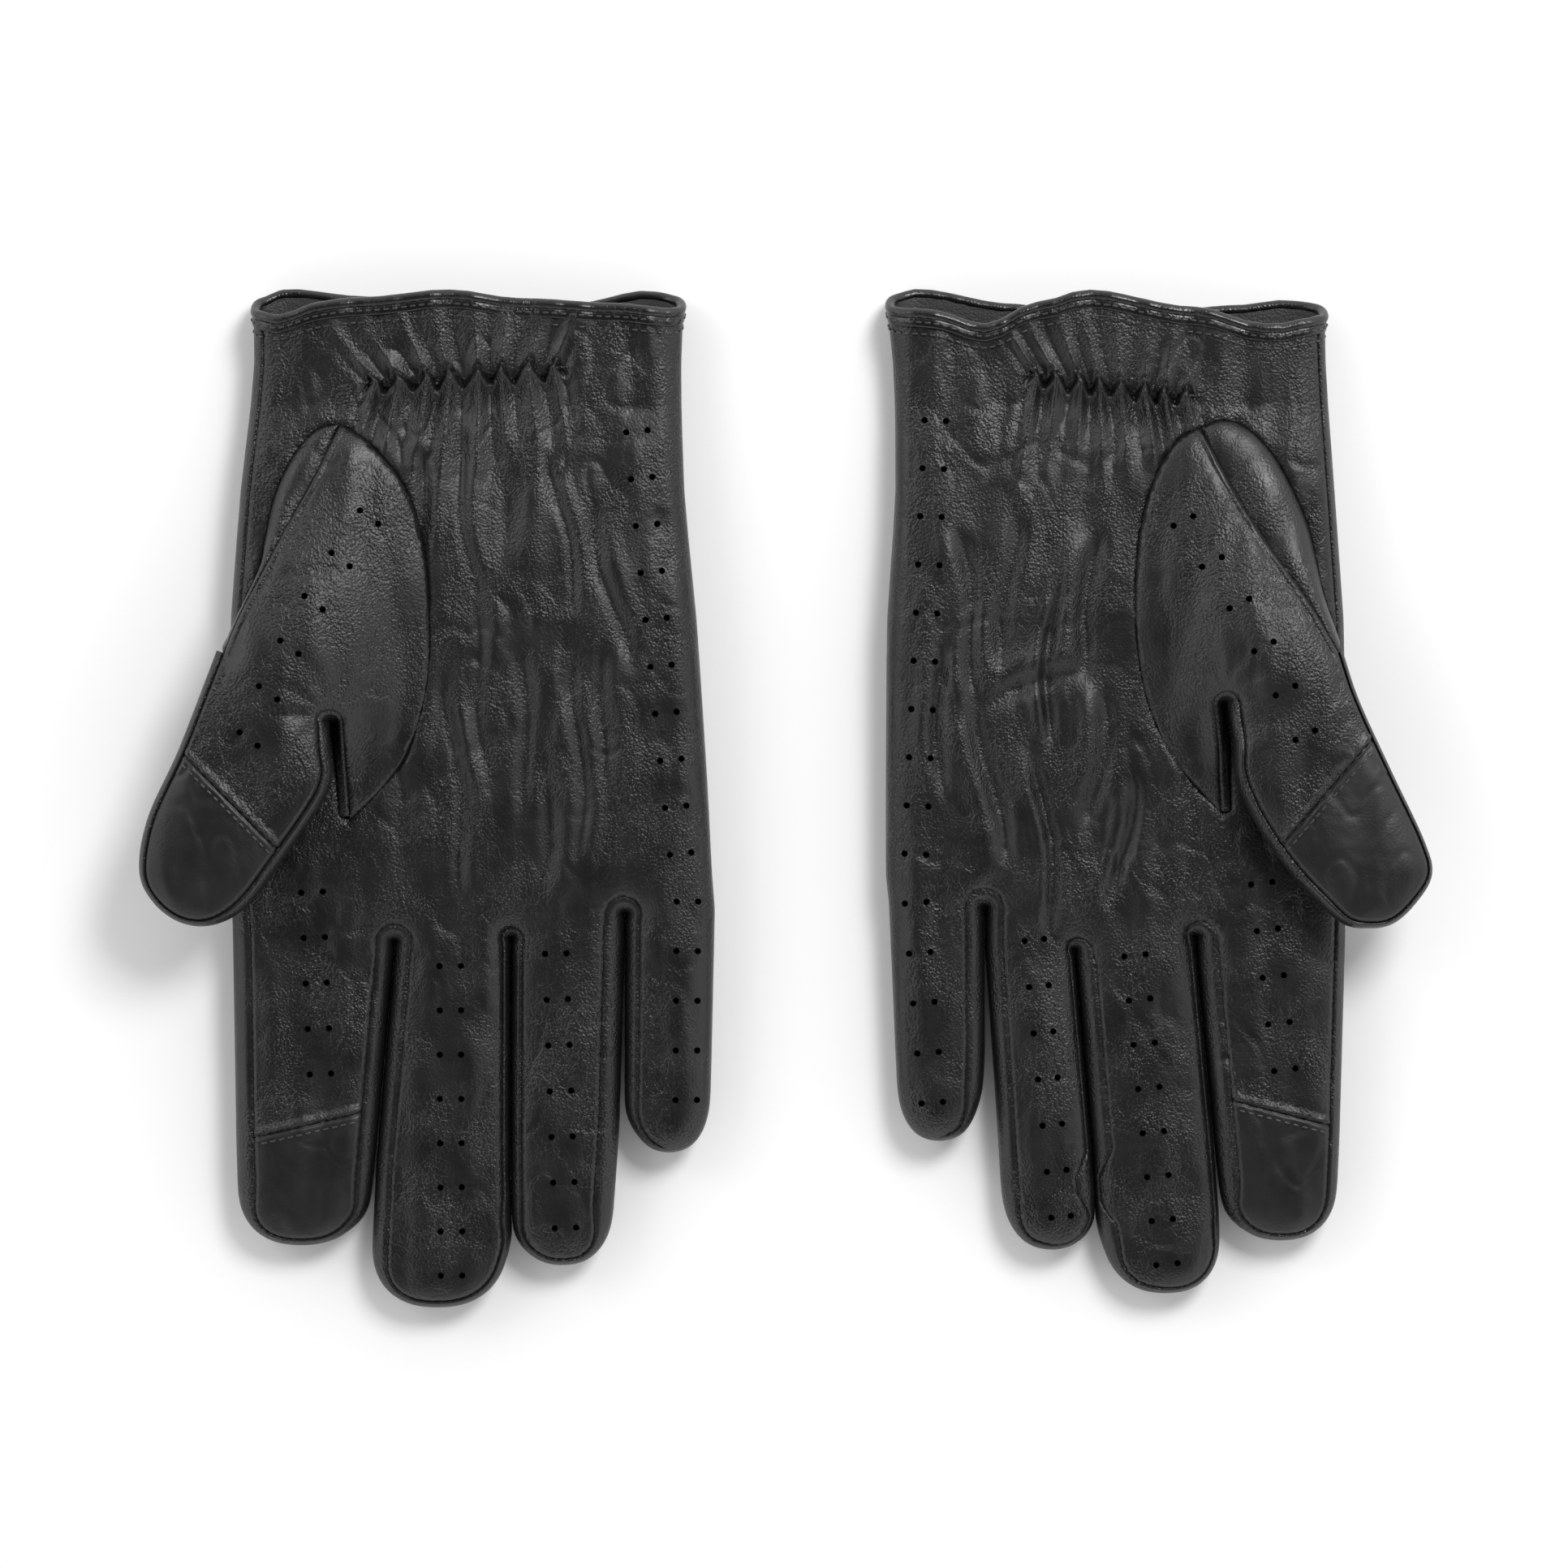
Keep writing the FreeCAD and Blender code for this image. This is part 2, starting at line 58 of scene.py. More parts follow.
MM = 0.001
SPACING = 0.9            # distance between mesh points on the panels
FINE_SPACING = 0.5       # and where the leather is gathered
GROOVE_DEPTH = 0.75      # how far the leather is pulled down at a turned seam
EDGE_ROUND = 11.0        # distance over which a panel rounds down to its edge
EDGE_POWER = 2.5         # 2 would be a round edge; more is squarer
UNDER_SEAM = 5.0         # distance of the back seam from the edge
BACK_SEAM_LIFT = 0.35    # how far the back seam is drawn up off the floor
ON_SEAM = 0.05           # a point nearer to a seam of the hand than this belongs to it
ON_THUMB_SEAM = 0.02     # the same on keystone and thumb
EDGE_CROWDING = 1.7      # rows of points lie closer together near an edge
EDGE_SHARES = [1.0] + list(np.linspace(0.86, 0.0, 8) ** EDGE_CROWDING)  # rows from a front seam to the edge
PATCH_ROWS = [-1.0, -0.5, 0.5, 1.0]  # rows of points beside the seam of a touch patch
TIP_INSET = 1.6          # distance of the front seam from the very end of a finger
TIP_LENGTH = 12.0        # of the rounded end of a finger
HOLE_RADIUS = 0.78
HOLE_WALL = 0.9          # length of the punched wall under a hole's rim
BLEND_LENGTH = 12.0      # leather bends over this length beyond a finger's root or bending line
PIPING_RADIUS = 1.3
STITCH_PITCH = 2.1       # from one stitch to the next
STITCH_LENGTH = 1.35
STITCH_RADIUS = 0.27
TACK_PITCH = 1.0         # of the few stitches that fasten each end of the gathers
EDGE_STEP = 0.8          # distance between mesh points along a silhouette
ARCH_POINTS = 11         # points round the top of a fork or slot
ROW_GAP = 0.3            # points of a row nearer than this to a seam or hole are left out
FILL_GAP = 0.62          # and points of the filling nearer than this share of their spacing
UNDER_BINDING = 1.0      # the shell ends this far below the top of the binding
CORNER_DIP = 3.8         # how far the palm-side cuff edge drops at the two corners
CLOSING = 0.38           # share of the gap between two fingers that each one's leather swells into
STITCH_LIFT = 0.12       # of a stitch above the leather
PATCH_STITCHES = 1.9     # distance of a patch's topstitching from its seam
LIGHT_SIZE = 0.5         # metres
CAMERA_HEIGHT = 1.5417   # metres; a 150 mm lens sees 370 mm of the floor from here
FINGERS = ["index", "middle", "ring", "little"]

# Per glove, seen palm up: width of each finger's side strips on the palm side, thumb side first;
# width of back leather that shows beside hand and thumb (the laps); tops of the forks between
# fingers; the gather at the wrist; the keystone seam, from the top of its lobe to the tip of its
# tail; the line where the thumb's back leather meets the palm; the seam beside it; the thumb's
# outline, slot and patch seam as distance along it and across it; the index patch seam; rows of
# punched hole pairs as start, end, number of pairs and distance between the two; folds from one
# end to the other (x, y, x, y) and their depth; an offset that makes the noise differ.
LOOKS = {
    "right": {
        "strips": {"index": (4.6, 3.9), "middle": (4.0, 1.8), "ring": (2.6, 4.8), "little": (3.4, 0.5)},
        "edge_lap": 2.5,
        "thumb_lap": 1.8,
        "forks": [(-16.65, -28.8), (11.0, -29.4), (37.2, -22.9)],
        "gather": [(-22.4, 97.2), (21.8, 100.8)],
        "keystone": [(-29.6, 87.4), (-22.6, 83.0), (-14.4, 73.0), (-10.1, 60.6), (-8.5, 45.0), (-8.9, 27.0),
                     (-13.4, 10.8), (-20.1, 1.6), (-27.6, -5.8)],
        "crescent": [(-56.5, 36.0), (-48.2, 53.0), (-46.7, 60.6), (-44.2, 71.5), (-39.5, 81.0), (-34.5, 86.2),
                     (-29.6, 87.4)],
        "outer_seam": [(-59.6, -13.4), (-47.0, -13.3), (-34.7, -13.8), (-21.6, -14.0), (-10.0, -14.2)],
        "thumb": [(0, -15.5), (24, -13.5), (42, -13.0), (54, -9.4), (59.3, -3.0), (60.6, 5.0), (57.5, 12.0),
                  (50, 17.0), (36, 19.8), (22, 22.0), (14.6, 21.5), (8.7, 17.9), (2.6, 14.6)],
        "slot": [(2.6, 15.4), (8.7, 18.7), (15.7, 22.7), (22.6, 26.6)],
        "thumb_patch": [(24.0, -14.5), (36.6, 21.0)],
        "index_patch": [(-56.0, -81.0), (-16.0, -71.8)],
        "hole_lines": [
            [(-35.9, -22.1), (-34.0, -64.7), 5, 5.0], [(-3.6, -39.4), (-3.4, -112.0), 8, 5.0],
            [(21.1, -36.5), (23.3, -100.8), 7, 5.0], [(51.9, -24.3), (51.6, -70.8), 5, 5.0],
            [(40.1, 85.7), (50.3, -13.1), 10, 5.0]],
        "thumb_holes": [(-22.2, 65.4), (-49.6, 13.6), 6, (4.2, -3.1)],
        "folds": [(30.0, 66.0, 37.0, 34.0), (33.0, 34.0, 31.0, 2.0), (20.0, 78.0, 26.0, 44.0),
                  (12.0, 34.0, 15.0, -2.0), (2.0, 44.0, 5.0, 6.0), (-2.0, 84.0, 2.0, 50.0),
                  (20.0, 24.0, 18.0, -22.0), (26.0, 30.0, 27.0, -14.0), (-4.0, 24.0, 0.0, -22.0),
                  (8.0, 84.0, 9.0, 56.0), (-12.0, 82.0, -9.0, 60.0)],
        "fold_depth": 1.0,
        "seed": 3.0,
    },
    "left": {
        "strips": {"index": (2.7, 4.8), "middle": (1.4, 4.4), "ring": (1.2, 4.0), "little": (4.4, 0.5)},
        "edge_lap": 2.0,
        "thumb_lap": 1.1,
        "forks": [(-20.9, -28.3), (7.5, -32.1), (28.4, -20.8)],
        "gather": [(-19.7, 94.1), (17.6, 99.1)],
        "keystone": [(-22.4, 86.6), (-17.0, 84.0), (-11.7, 76.0), (-7.8, 63.0), (-6.5, 45.0), (-8.2, 27.5),
                     (-12.4, 15.0), (-18.5, 5.2), (-27.4, -4.2)],
        "crescent": [(-54.2, 37.0), (-50.4, 48.2), (-47.3, 62.3), (-44.0, 70.5), (-39.1, 79.8), (-32.5, 86.6),
                     (-27.0, 88.2), (-22.4, 86.6)],
        "outer_seam": [(-60.8, -7.4), (-52.8, -7.5), (-40.5, -8.2), (-30.0, -9.5), (-13.8, -12.1)],
        "thumb": [(0, -14.4), (12, -13.0), (30, -12.8), (48, -12.8), (56, -11.0), (60.5, -4.5), (62.4, 2.0),
                  (61.0, 7.5), (57, 12.9), (46, 17.4), (36, 19.9), (25, 21.2), (15.5, 20.6), (8.0, 17.4),
                  (-1.5, 14.5)],
        "slot": [(-1.5, 15.4), (8.7, 18.6), (15.7, 21.6), (22.8, 24.4)],
        "thumb_patch": [(20.2, -14.5), (36.7, 22.5)],
        "index_patch": [(-58.5, -78.4), (-22.0, -68.9)],
        "hole_lines": [
            [(-36.2, -20.0), (-41.7, -63.7), 5, 5.0], [(-6.6, -36.9), (-14.2, -109.3), 8, 5.0],
            [(16.9, -33.3), (10.6, -98.2), 7, 4.6], [(44.7, -24.6), (40.8, -71.4), 5, 5.0],
            [(40.1, 88.2), (44.8, -13.2), 10, 5.0]],
        "thumb_holes": [(-17.6, 64.5), (-45.3, 14.5), 6, (4.5, -2.2)],
        "folds": [(34.0, 60.0, 30.0, 24.0), (22.0, 66.0, 24.0, 30.0), (12.0, 50.0, 14.0, 14.0),
                  (2.0, 60.0, 6.0, 30.0), (30.0, 20.0, 24.0, -14.0), (16.0, 8.0, 12.0, -30.0),
                  (0.0, 24.0, 4.0, -6.0), (-6.0, 2.0, -2.0, -24.0), (40.0, 34.0, 38.0, 2.0),
                  (8.0, 30.0, 26.0, 22.0)],
        "fold_depth": 1.6,
        "seed": 11.0,
    },
}


# Numbers and lines in plan ---------------------------------------------------------------------

def smooth(share):
    """Eases from 0 to 1 as the share does."""
    share = np.clip(share, 0.0, 1.0)
    return share * share * (3 - 2 * share)


def bell(offset, width):
    """A smooth bump of height 1 at offset 0."""
    return np.exp(-(offset / width) ** 2)


def edge_shape(distance):
    """Share of the full height that a panel reaches at a distance from its edge."""
    share = np.clip(np.asarray(distance, float) / EDGE_ROUND, 0.0, 1.0)
    return (1 - (1 - share) ** EDGE_POWER) ** (1 / EDGE_POWER)


def resample(line, spacing):
    """The same polyline with points at even distances."""
    line = np.asarray(line, float)
    run = np.concatenate([[0.0], np.cumsum(np.linalg.norm(np.diff(line, axis=0), axis=1))])
    at = np.linspace(0, run[-1], max(2, int(round(run[-1] / spacing)) + 1))
    return np.stack([np.interp(at, run, line[:, k]) for k in range(line.shape[1])], 1)


def spline(points, spacing):
    """Evenly spaced points along a smooth curve through the given points."""
    p = np.asarray(points, float)
    p = np.vstack([2 * p[0] - p[1], p, 2 * p[-1] - p[-2]])
    t = np.linspace(0, 1, 16, endpoint=False)[:, None]
    out = []
    for a, b, c, d in zip(p, p[1:], p[2:], p[3:]):
        out.append(b + 0.5 * ((c - a) * t + (2 * a - 5 * b + 4 * c - d) * t ** 2
                              + (3 * b - 3 * c + d - a) * t ** 3))
    out.append(p[-2:-1])
    return resample(np.vstack(out), spacing)


def y_on(line, x):
    """y at x on the straight line through two points."""
    (x0, y0), (x1, y1) = line
    return y0 + (x - x0) * (y1 - y0) / (x1 - x0)


def inward(line):
    """Unit normals on the left of the direction of travel."""
    step = np.gradient(line, axis=0)
    step /= np.linalg.norm(step, axis=1)[:, None]
    return np.stack([-step[:, 1], step[:, 0]], 1)


def moving_average(values, reach):
    """Values averaged over a window that reaches so many places either way."""
    padded = np.concatenate([np.repeat(values[:1], reach, 0), values, np.repeat(values[-1:], reach, 0)])
    kernel = np.ones(2 * reach + 1) / (2 * reach + 1)
    if padded.ndim == 1:
        return np.convolve(padded, kernel, "valid")
    return np.stack([np.convolve(padded[:, k], kernel, "valid") for k in range(padded.shape[1])], 1)


def inside(points, loop):
    """Which points lie inside a closed loop."""
    x, y = points[:, 0], points[:, 1]
    result = np.zeros(len(points), bool)
    for (x0, y0), (x1, y1) in zip(loop, np.roll(loop, -1, 0)):
        if y0 == y1:
            continue
        crosses = (y0 > y) != (y1 > y)
        result ^= crosses & (x < x0 + (y - y0) * (x1 - x0) / (y1 - y0))
    return result


class Line:
    """A polyline in plan that tells how far points are from it, and where along it."""

    def __init__(self, points):
        self.points = np.asarray(points, float)
        self.tree = kdtree.KDTree(len(self.points))
        for i, (x, y) in enumerate(self.points):
            self.tree.insert((x, y, 0), i)
        self.tree.balance()

    def locate(self, xy):
        """Distance from each point to the line, and the place on it as a point number."""
        xy = np.asarray(xy, float)
        nearest = np.array([self.tree.find((x, y, 0))[1] for x, y in xy])
        best = np.full(len(xy), 1e9)
        place = nearest.astype(float)
        last = len(self.points) - 2
        for start in (np.clip(nearest - 1, 0, last), np.clip(nearest, 0, last)):
            a = self.points[start]
            run = self.points[start + 1] - a
            share = np.clip(((xy - a) * run).sum(1) / (run * run).sum(1), 0, 1)
            away = np.linalg.norm(xy - a - share[:, None] * run, axis=1)
            better = away < best
            best[better] = away[better]
            place[better] = (start + share)[better]
        return best, place

    def distance(self, xy):
        return self.locate(xy)[0]


# Flat plates and bands ------------------------------------------------------------------------

def circle(centre, radius, count=12):
    turn = np.linspace(0, 2 * math.pi, count, endpoint=False)
    return np.asarray(centre) + radius * np.stack([np.cos(turn), np.sin(turn)], 1)


def honeycomb(low, high, spacing):
    """Points of a triangular lattice that fills a box."""
    rise = spacing * math.sqrt(3) / 2
    rows = []
    for i, y in enumerate(np.arange(low[1], high[1], rise)):
        x = np.arange(low[0] + (i % 2) * spacing / 2, high[0], spacing)
        rows.append(np.stack([x, np.full(len(x), y)], 1))
    return np.vstack(rows)


def far_from(points, others, gap):
    """Which points keep at least a gap from all the others."""
    tree = kdtree.KDTree(len(others))
    for i, (x, y) in enumerate(others):
        tree.insert((x, y, 0), i)
    tree.balance()
    return np.array([tree.find((x, y, 0))[2] > gap for x, y in points], bool)


def plate(loop, rows=(), holes=(), cuts=(), fine=None):
    """Triangles that fill a closed loop, leave out round holes and have edges along the cuts."""
    coords = []
    edges = []

    def chain(points, closed):
        first = len(coords)
        coords.extend(points)
        edges.extend((first + i, first + i + 1) for i in range(len(points) - 1))
        if closed:
            edges.append((len(coords) - 1, first))

    chain(loop, True)
    for centre in holes:
        chain(circle(centre, HOLE_RADIUS), True)
    for cut in cuts:
        chain(resample(cut, SPACING), False)
    for row in rows:
        kept = row[inside(row, loop)]
        kept = kept[far_from(kept, np.array(coords), ROW_GAP)] if len(kept) else kept
        coords.extend(kept)
    low, high = loop.min(0), loop.max(0)
    fillings = [(low, high, SPACING)]
    if fine is not None:
        fillings.insert(0, (np.array(fine[0]), np.array(fine[1]), FINE_SPACING))
    for box_low, box_high, spacing in fillings:
        lattice = honeycomb(box_low, box_high, spacing)
        lattice = lattice[inside(lattice, loop)]
        coords.extend(lattice[far_from(lattice, np.array(coords), FILL_GAP * spacing)])
    made = delaunay_2d_cdt([Vector(c) for c in coords], edges, [], 0, 1e-5)
    points = np.array([tuple(v) for v in made[0]])
    faces = np.array([f for f in made[2] if len(f) == 3])
    middle = points[faces].mean(1)
    keep = inside(middle, loop)
    for centre in holes:
        keep &= np.linalg.norm(middle - np.asarray(centre), axis=1) > HOLE_RADIUS * 0.97
    faces = faces[keep]
    a, b, c = points[faces[:, 0]], points[faces[:, 1]], points[faces[:, 2]]
    area = (b[:, 0] - a[:, 0]) * (c[:, 1] - a[:, 1]) - (b[:, 1] - a[:, 1]) * (c[:, 0] - a[:, 0])
    faces[area < 0] = faces[area < 0][:, ::-1]
    return points, faces[np.abs(area) > 1e-4]


def grid_faces(rows, columns, closed=False):
    """Quads between the points of a grid, row by row."""
    across = columns if closed else columns - 1
    i, j = np.meshgrid(np.arange(rows - 1), np.arange(across), indexing="ij")
    i, j = i.ravel(), j.ravel()
    k = (j + 1) % columns
    return np.stack([i * columns + j, (i + 1) * columns + j, (i + 1) * columns + k, i * columns + k], 1)


def face_normals(points, faces):
    """Normals of triangles or quads, as long as the faces are large."""
    corner = points[faces]
    if faces.shape[1] == 3:
        return np.cross(corner[:, 1] - corner[:, 0], corner[:, 2] - corner[:, 0])
    return np.cross(corner[:, 2] - corner[:, 0], corner[:, 3] - corner[:, 1])


def point_normals(points, faces):
    """Unit normals of the points, averaged over the faces round them."""
    total = np.zeros((len(points), 3))
    each = face_normals(points, faces)
    for k in range(faces.shape[1]):
        np.add.at(total, faces[:, k], each)
    return total / np.maximum(np.linalg.norm(total, axis=1), 1e-9)[:, None]


def hole_walls(points, centres):
    """Short walls that go down into the leather from the rims of the punched holes."""
    turn = circle((0, 0), 1.0)
    wall_points = []
    wall_faces = []
    for centre in centres:
        rim = circle(centre, HOLE_RADIUS)
        nearest = np.argmin(np.linalg.norm(points[None, :, :2] - rim[:, None], axis=2), axis=1)
        first = len(wall_points)
        top = points[nearest]
        wall_points.extend(top)
        wall_points.extend(top - np.column_stack([turn * 0.12, np.full(len(turn), HOLE_WALL)]))
        count = len(rim)
        for i in range(count):
            j = (i + 1) % count
            wall_faces.append((first + i, first + j, first + count + j, first + count + i))
    return np.array(wall_points), np.array(wall_faces)


def with_arch(path, facing, inset, before, after, centre, radius, turns, reach):
    """Puts a fan of normals between two places of a path, so that the seam beside it turns smoothly."""
    turn = np.linspace(*turns, ARCH_POINTS)
    fan = np.column_stack([np.cos(turn), np.sin(turn)])
    return (np.vstack([path[:before + 1], centre + radius * fan, path[after:]]),
            np.vstack([facing[:before + 1], fan, facing[after:]]),
            np.concatenate([inset[:before + 1], reach, inset[after:]]))


def hole_pairs(start, end, count, pair, bow=(0.0, 0.0)):
    """Centres of pairs of punched holes along a line, which may bow to one side."""
    share = np.linspace(0, 1, count)[:, None]
    middle = np.array(start) + share * (np.array(end) - np.array(start))
    middle = middle + np.array(bow) * np.sin(math.pi * share)
    half = np.asarray(pair) / 2
    return list(np.stack([middle - half, middle + half], 1).reshape(-1, 2))


# The glove as measured on the frame ------------------------------------------------------------

class Glove:
    """One glove's outline, heights and hinges in its own frame."""

    def __init__(self, name):
        self.name = name
        self.looks = LOOKS[name]
        self.index_patch = np.array(self.looks["index_patch"])
        self.flip = 1 if name == "right" else -1
        openings = {o["name"]: o["box_m"] for o in frame["record"]["physics"]["openings"]}
        low, high = openings[name + "_hand_cavity"]
        self.centre = (low[0] + high[0]) / 2 / MM
        self.meshes = {}
        for node, obj in frame["nodes"].items():
            if node.startswith(name + "_"):
                self.meshes[node[len(name) + 1:]] = self.measure(obj)
        self.fingers = {finger: self.measure_finger(finger) for finger in FINGERS}
        self.measure_hand()
        self.measure_thumb()
        self.close_gaps()
        self.build_outline()
        self.build_footprint()

    def local(self, points):
        points = np.array(points, float) / MM
        points[..., 0] = (points[..., 0] - self.centre) * self.flip
        return points

    def world(self, points):
        points = np.array(points, float)
        points[..., 0] = self.centre + points[..., 0] * self.flip
        return points * MM

    def measure(self, obj):
        """Points and edges of a CAD part in the glove's frame."""
        points = np.zeros(len(obj.data.vertices) * 3, np.float32)
        obj.data.vertices.foreach_get("co", points)
        edges = np.zeros(len(obj.data.edges) * 2, np.int32)
        obj.data.edges.foreach_get("vertices", edges)
        return self.local(points.reshape(-1, 3)), edges.reshape(-1, 2)

    def crossings(self, nodes, axis, at):
        """Points where the edges of these nodes cross the plane axis = at."""
        found = []
        for node in nodes:
            points, edges = self.meshes[node]
            a, b = points[edges[:, 0]], points[edges[:, 1]]
            across = (a[:, axis] > at) != (b[:, axis] > at)
            a, b = a[across], b[across]
            share = (at - a[:, axis]) / (b[:, axis] - a[:, axis])
            found.append(a + share[:, None] * (b - a))
        return np.vstack(found)

    def hinge(self, joint):
        """Where a joint's axis passes, and its direction."""
        found = next(j for j in frame["joints"] if j["name"] == self.name + "_" + joint)
        axis = np.array(found["axis"], float)
        axis[0] *= self.flip
        return self.local(found["pos_m"]), axis

    def measure_finger(self, finger):
        """Silhouette of a finger in plan, from the thumb side of its root round the tip and back."""
        nodes = [node for node in self.meshes if node.startswith(finger + "_")]
        points = np.vstack([self.meshes[node][0] for node in nodes])[:, :2]
        ring = points[convex_hull_2d([tuple(p) for p in points])]
        x, y = ring[:, 0], ring[:, 1]
        if (x * np.roll(y, -1) - np.roll(x, -1) * y).sum() < 0:
            ring = ring[::-1]
        root = self.hinge(finger + "_knuckle")[0][1]
        top = np.where(ring[:, 1] > root - 1.5)[0]
        start = top[np.argmin(ring[top, 0])]
        ring = np.roll(ring, -start, 0)
        end = np.argmax(np.where(ring[:, 1] > root - 1.5, ring[:, 0], -1e9))
        hull = ring[:end + 1]
        tip = hull[:, 1].min()
        low = np.argmin(hull[:, 1])
        return {"hull": hull, "root": root, "tip": tip, "bend": self.hinge(finger + "_bend")[0][1],
                "left": hull[:low + 1][::-1], "right": hull[low:], "strips": self.looks["strips"][finger]}

    def sides(self, finger, y):
        """Thumb-side and little-finger-side x of a finger at y."""
        found = self.fingers[finger]
        y = np.clip(y, found["tip"] + TIP_LENGTH, found["root"])
        return (np.interp(y, found["left"][:, 1], found["left"][:, 0]),
                np.interp(y, found["right"][:, 1], found["right"][:, 0]))

    def measure_hand(self):
        """Widths and heights at stations down the hand, and the cuff edge on either side."""
        self.stations = np.linspace(-18, 112, 14)
        low, high, top = [], [], []
        for y in self.stations:
            found = self.crossings(["palm_panel", "back_panel"], 1, y)
            low.append(found[:, 0].min())
            high.append(found[:, 0].max())
            top.append(found[:, 2].max())
        self.low_x, self.high_x = np.array(low), np.array(high)
        tip = self.meshes["middle_tip_front"][0]
        base = self.meshes["middle_front"][0]
        finger_y = [tip[:, 1].min() + TIP_LENGTH, base[:, 1].min(), -30.0]
        finger_z = [tip[:, 2].max() - 0.9, base[:, 2].max() - 0.5, base[:, 2].max()]
        self.height_y = np.concatenate([finger_y, self.stations])
        self.height_z = np.concatenate([finger_z, top])
        self.cuff_x = np.linspace(low[-1] + 2, high[-1] - 2, 25)
        middle = self.height_z[-1] / 2
        palm, back = [], []
        for x in self.cuff_x:
            found = self.crossings(["cuff_binding"], 0, x)
            palm.append(found[found[:, 2] > middle, 1].max())
            back.append(found[found[:, 2] < middle, 1].max())
        self.palm_cuff_y, self.back_cuff_y = np.array(palm), np.array(back)

    def palm_cuff(self, x):
        """y of the palm-side cuff edge, which dips where it turns round to the back."""
        to_corner = np.minimum(x - self.low_x[-1], self.high_x[-1] - x)
        return np.interp(x, self.cuff_x, self.palm_cuff_y) - CORNER_DIP * (1 - smooth(to_corner / 16))

    def back_cuff(self, x):
        return np.interp(x, self.cuff_x, self.back_cuff_y)

    def height(self, y):
        return np.interp(y, self.height_y, self.height_z)

    def measure_thumb(self):
        """Where the thumb starts, which way it points and how high it lies."""
        bend, axis = self.hinge("thumb_bend")
        spread = self.hinge("thumb_spread")[0]
        along = np.cross([0, 0, 1], axis)
        along = along[:2] / np.linalg.norm(along[:2])
        self.along = along if along[1] < 0 else -along
        self.across = np.array([-self.along[1], self.along[0]])
        self.thumb_bend = (bend[:2] - spread[:2]) @ self.along
        self.root = bend[:2] - self.along * self.thumb_bend
        front = self.meshes["thumb_front"][0]
        back = self.meshes["thumb_back"][0]
        self.thumb_low, self.thumb_top = back[:, 2].min(), front[:, 2].max()

    def thumb_xy(self, points):
        """Plan position of points given as distance along the thumb and across it."""
        points = np.asarray(points, float)
        return self.root + points[..., :1] * self.along + points[..., 1:2] * self.across

    def thumb_place(self, xy):
        """Distance of plan points along the thumb and across it."""
        off = np.asarray(xy)[..., :2] - self.root
        return off @ self.along, off @ self.across

    def close_gaps(self):
        """Neighbouring fingers swell towards each other until they almost touch."""
        for one, other in zip(FINGERS, FINGERS[1:]):
            right, left = self.fingers[one]["right"], self.fingers[other]["left"]
            gap = np.interp(right[:, 1], left[:, 1], left[:, 0]) - right[:, 0]
            other_gap = left[:, 0] - np.interp(left[:, 1], right[:, 1], right[:, 0])
            right[:, 0] += CLOSING * gap * (1 - smooth((gap - 2.5) / 2))
            left[:, 0] -= CLOSING * other_gap * (1 - smooth((other_gap - 2.5) / 2))
        for finger in FINGERS:
            found = self.fingers[finger]
            found["hull"] = np.vstack([found["left"][::-1], found["right"][1:]])

    def build_outline(self):
        """Silhouette of hand and fingers in plan, with the distance from it to the front seams."""
        top = max(self.palm_cuff_y.max(), self.back_cuff_y.max()) + 4
        down = self.stations[::-1]
        line = [(self.low_x[-1], top)]
        line += list(zip(self.low_x[::-1], down))
        for i, finger in enumerate(FINGERS):
            hull = self.fingers[finger]["hull"]
            line += [tuple(p) for p in moving_average(resample(hull, 1.0), 3)]
            if finger == FINGERS[-1]:
                continue
            following = self.fingers[FINGERS[i + 1]]["hull"]
            fork_y = self.looks["forks"][i][1]
            strip = (self.fingers[finger]["strips"][1] + self.fingers[FINGERS[i + 1]]["strips"][0]) / 2
            gap = following[0][0] - hull[-1][0]
            middle = (following[0][0] + hull[-1][0]) / 2
            line += [(middle - gap / 2, fork_y - strip - 0.8), (middle, fork_y - strip),
                     (middle + gap / 2, fork_y - strip - 0.8)]
        line += list(zip(self.high_x, self.stations))
        line.append((self.high_x[-1], top))
        line = resample(moving_average(resample(line, EDGE_STEP), 1), EDGE_STEP)
        self.outline = Line(line)
        facing = inward(line)
        inset = moving_average(np.array([self.front_inset(p) for p in line]), 3)
        self.edge, self.edge_inward, self.edge_inset = self.round_forks(line, facing, inset)
        front = self.edge[:, 1] < self.palm_cuff(self.edge[:, 0]) - UNDER_BINDING
        back = self.edge[:, 1] < self.back_cuff(self.edge[:, 0]) - UNDER_BINDING
        self.seam_inset = self.edge_inset[front]
        self.front_seam = (self.edge + self.edge_inward * self.edge_inset[:, None])[front]
        self.back_seam = (self.edge + self.edge_inward * UNDER_SEAM)[back]

    def round_forks(self, line, facing, inset):
        """Makes the seam round the top of each fork an arch."""
        for fork_x, fork_y in self.looks["forks"]:
            away = np.abs(line[:, 0] - fork_x) + np.where(line[:, 1] > fork_y + 3, 50, 0)
            near = np.where(away < 5)[0]
            top = near[np.argmax(line[near, 1])]
            before, after = top - 3, top + 3
            reach = np.linspace(inset[before], inset[after], ARCH_POINTS)
            line, facing, inset = with_arch(line, facing, inset, before, after,
                                            line[top] - np.array([0, 0.5]), 0.3, (math.pi, 0), reach)
        return line, facing, inset

    def build_footprint(self):
        """Where the keystone and the thumb's back leather are sewn into the palm."""
        slot = self.thumb_xy(self.looks["slot"])[::-1]
        corner = self.thumb_xy([(0.0, self.looks["thumb"][0][1] + 1)])
        self.crescent = spline(self.looks["crescent"], SPACING)
        self.keystone = spline(self.looks["keystone"], SPACING)
        self.footprint = np.vstack([self.crescent, self.keystone[1:], slot, corner])

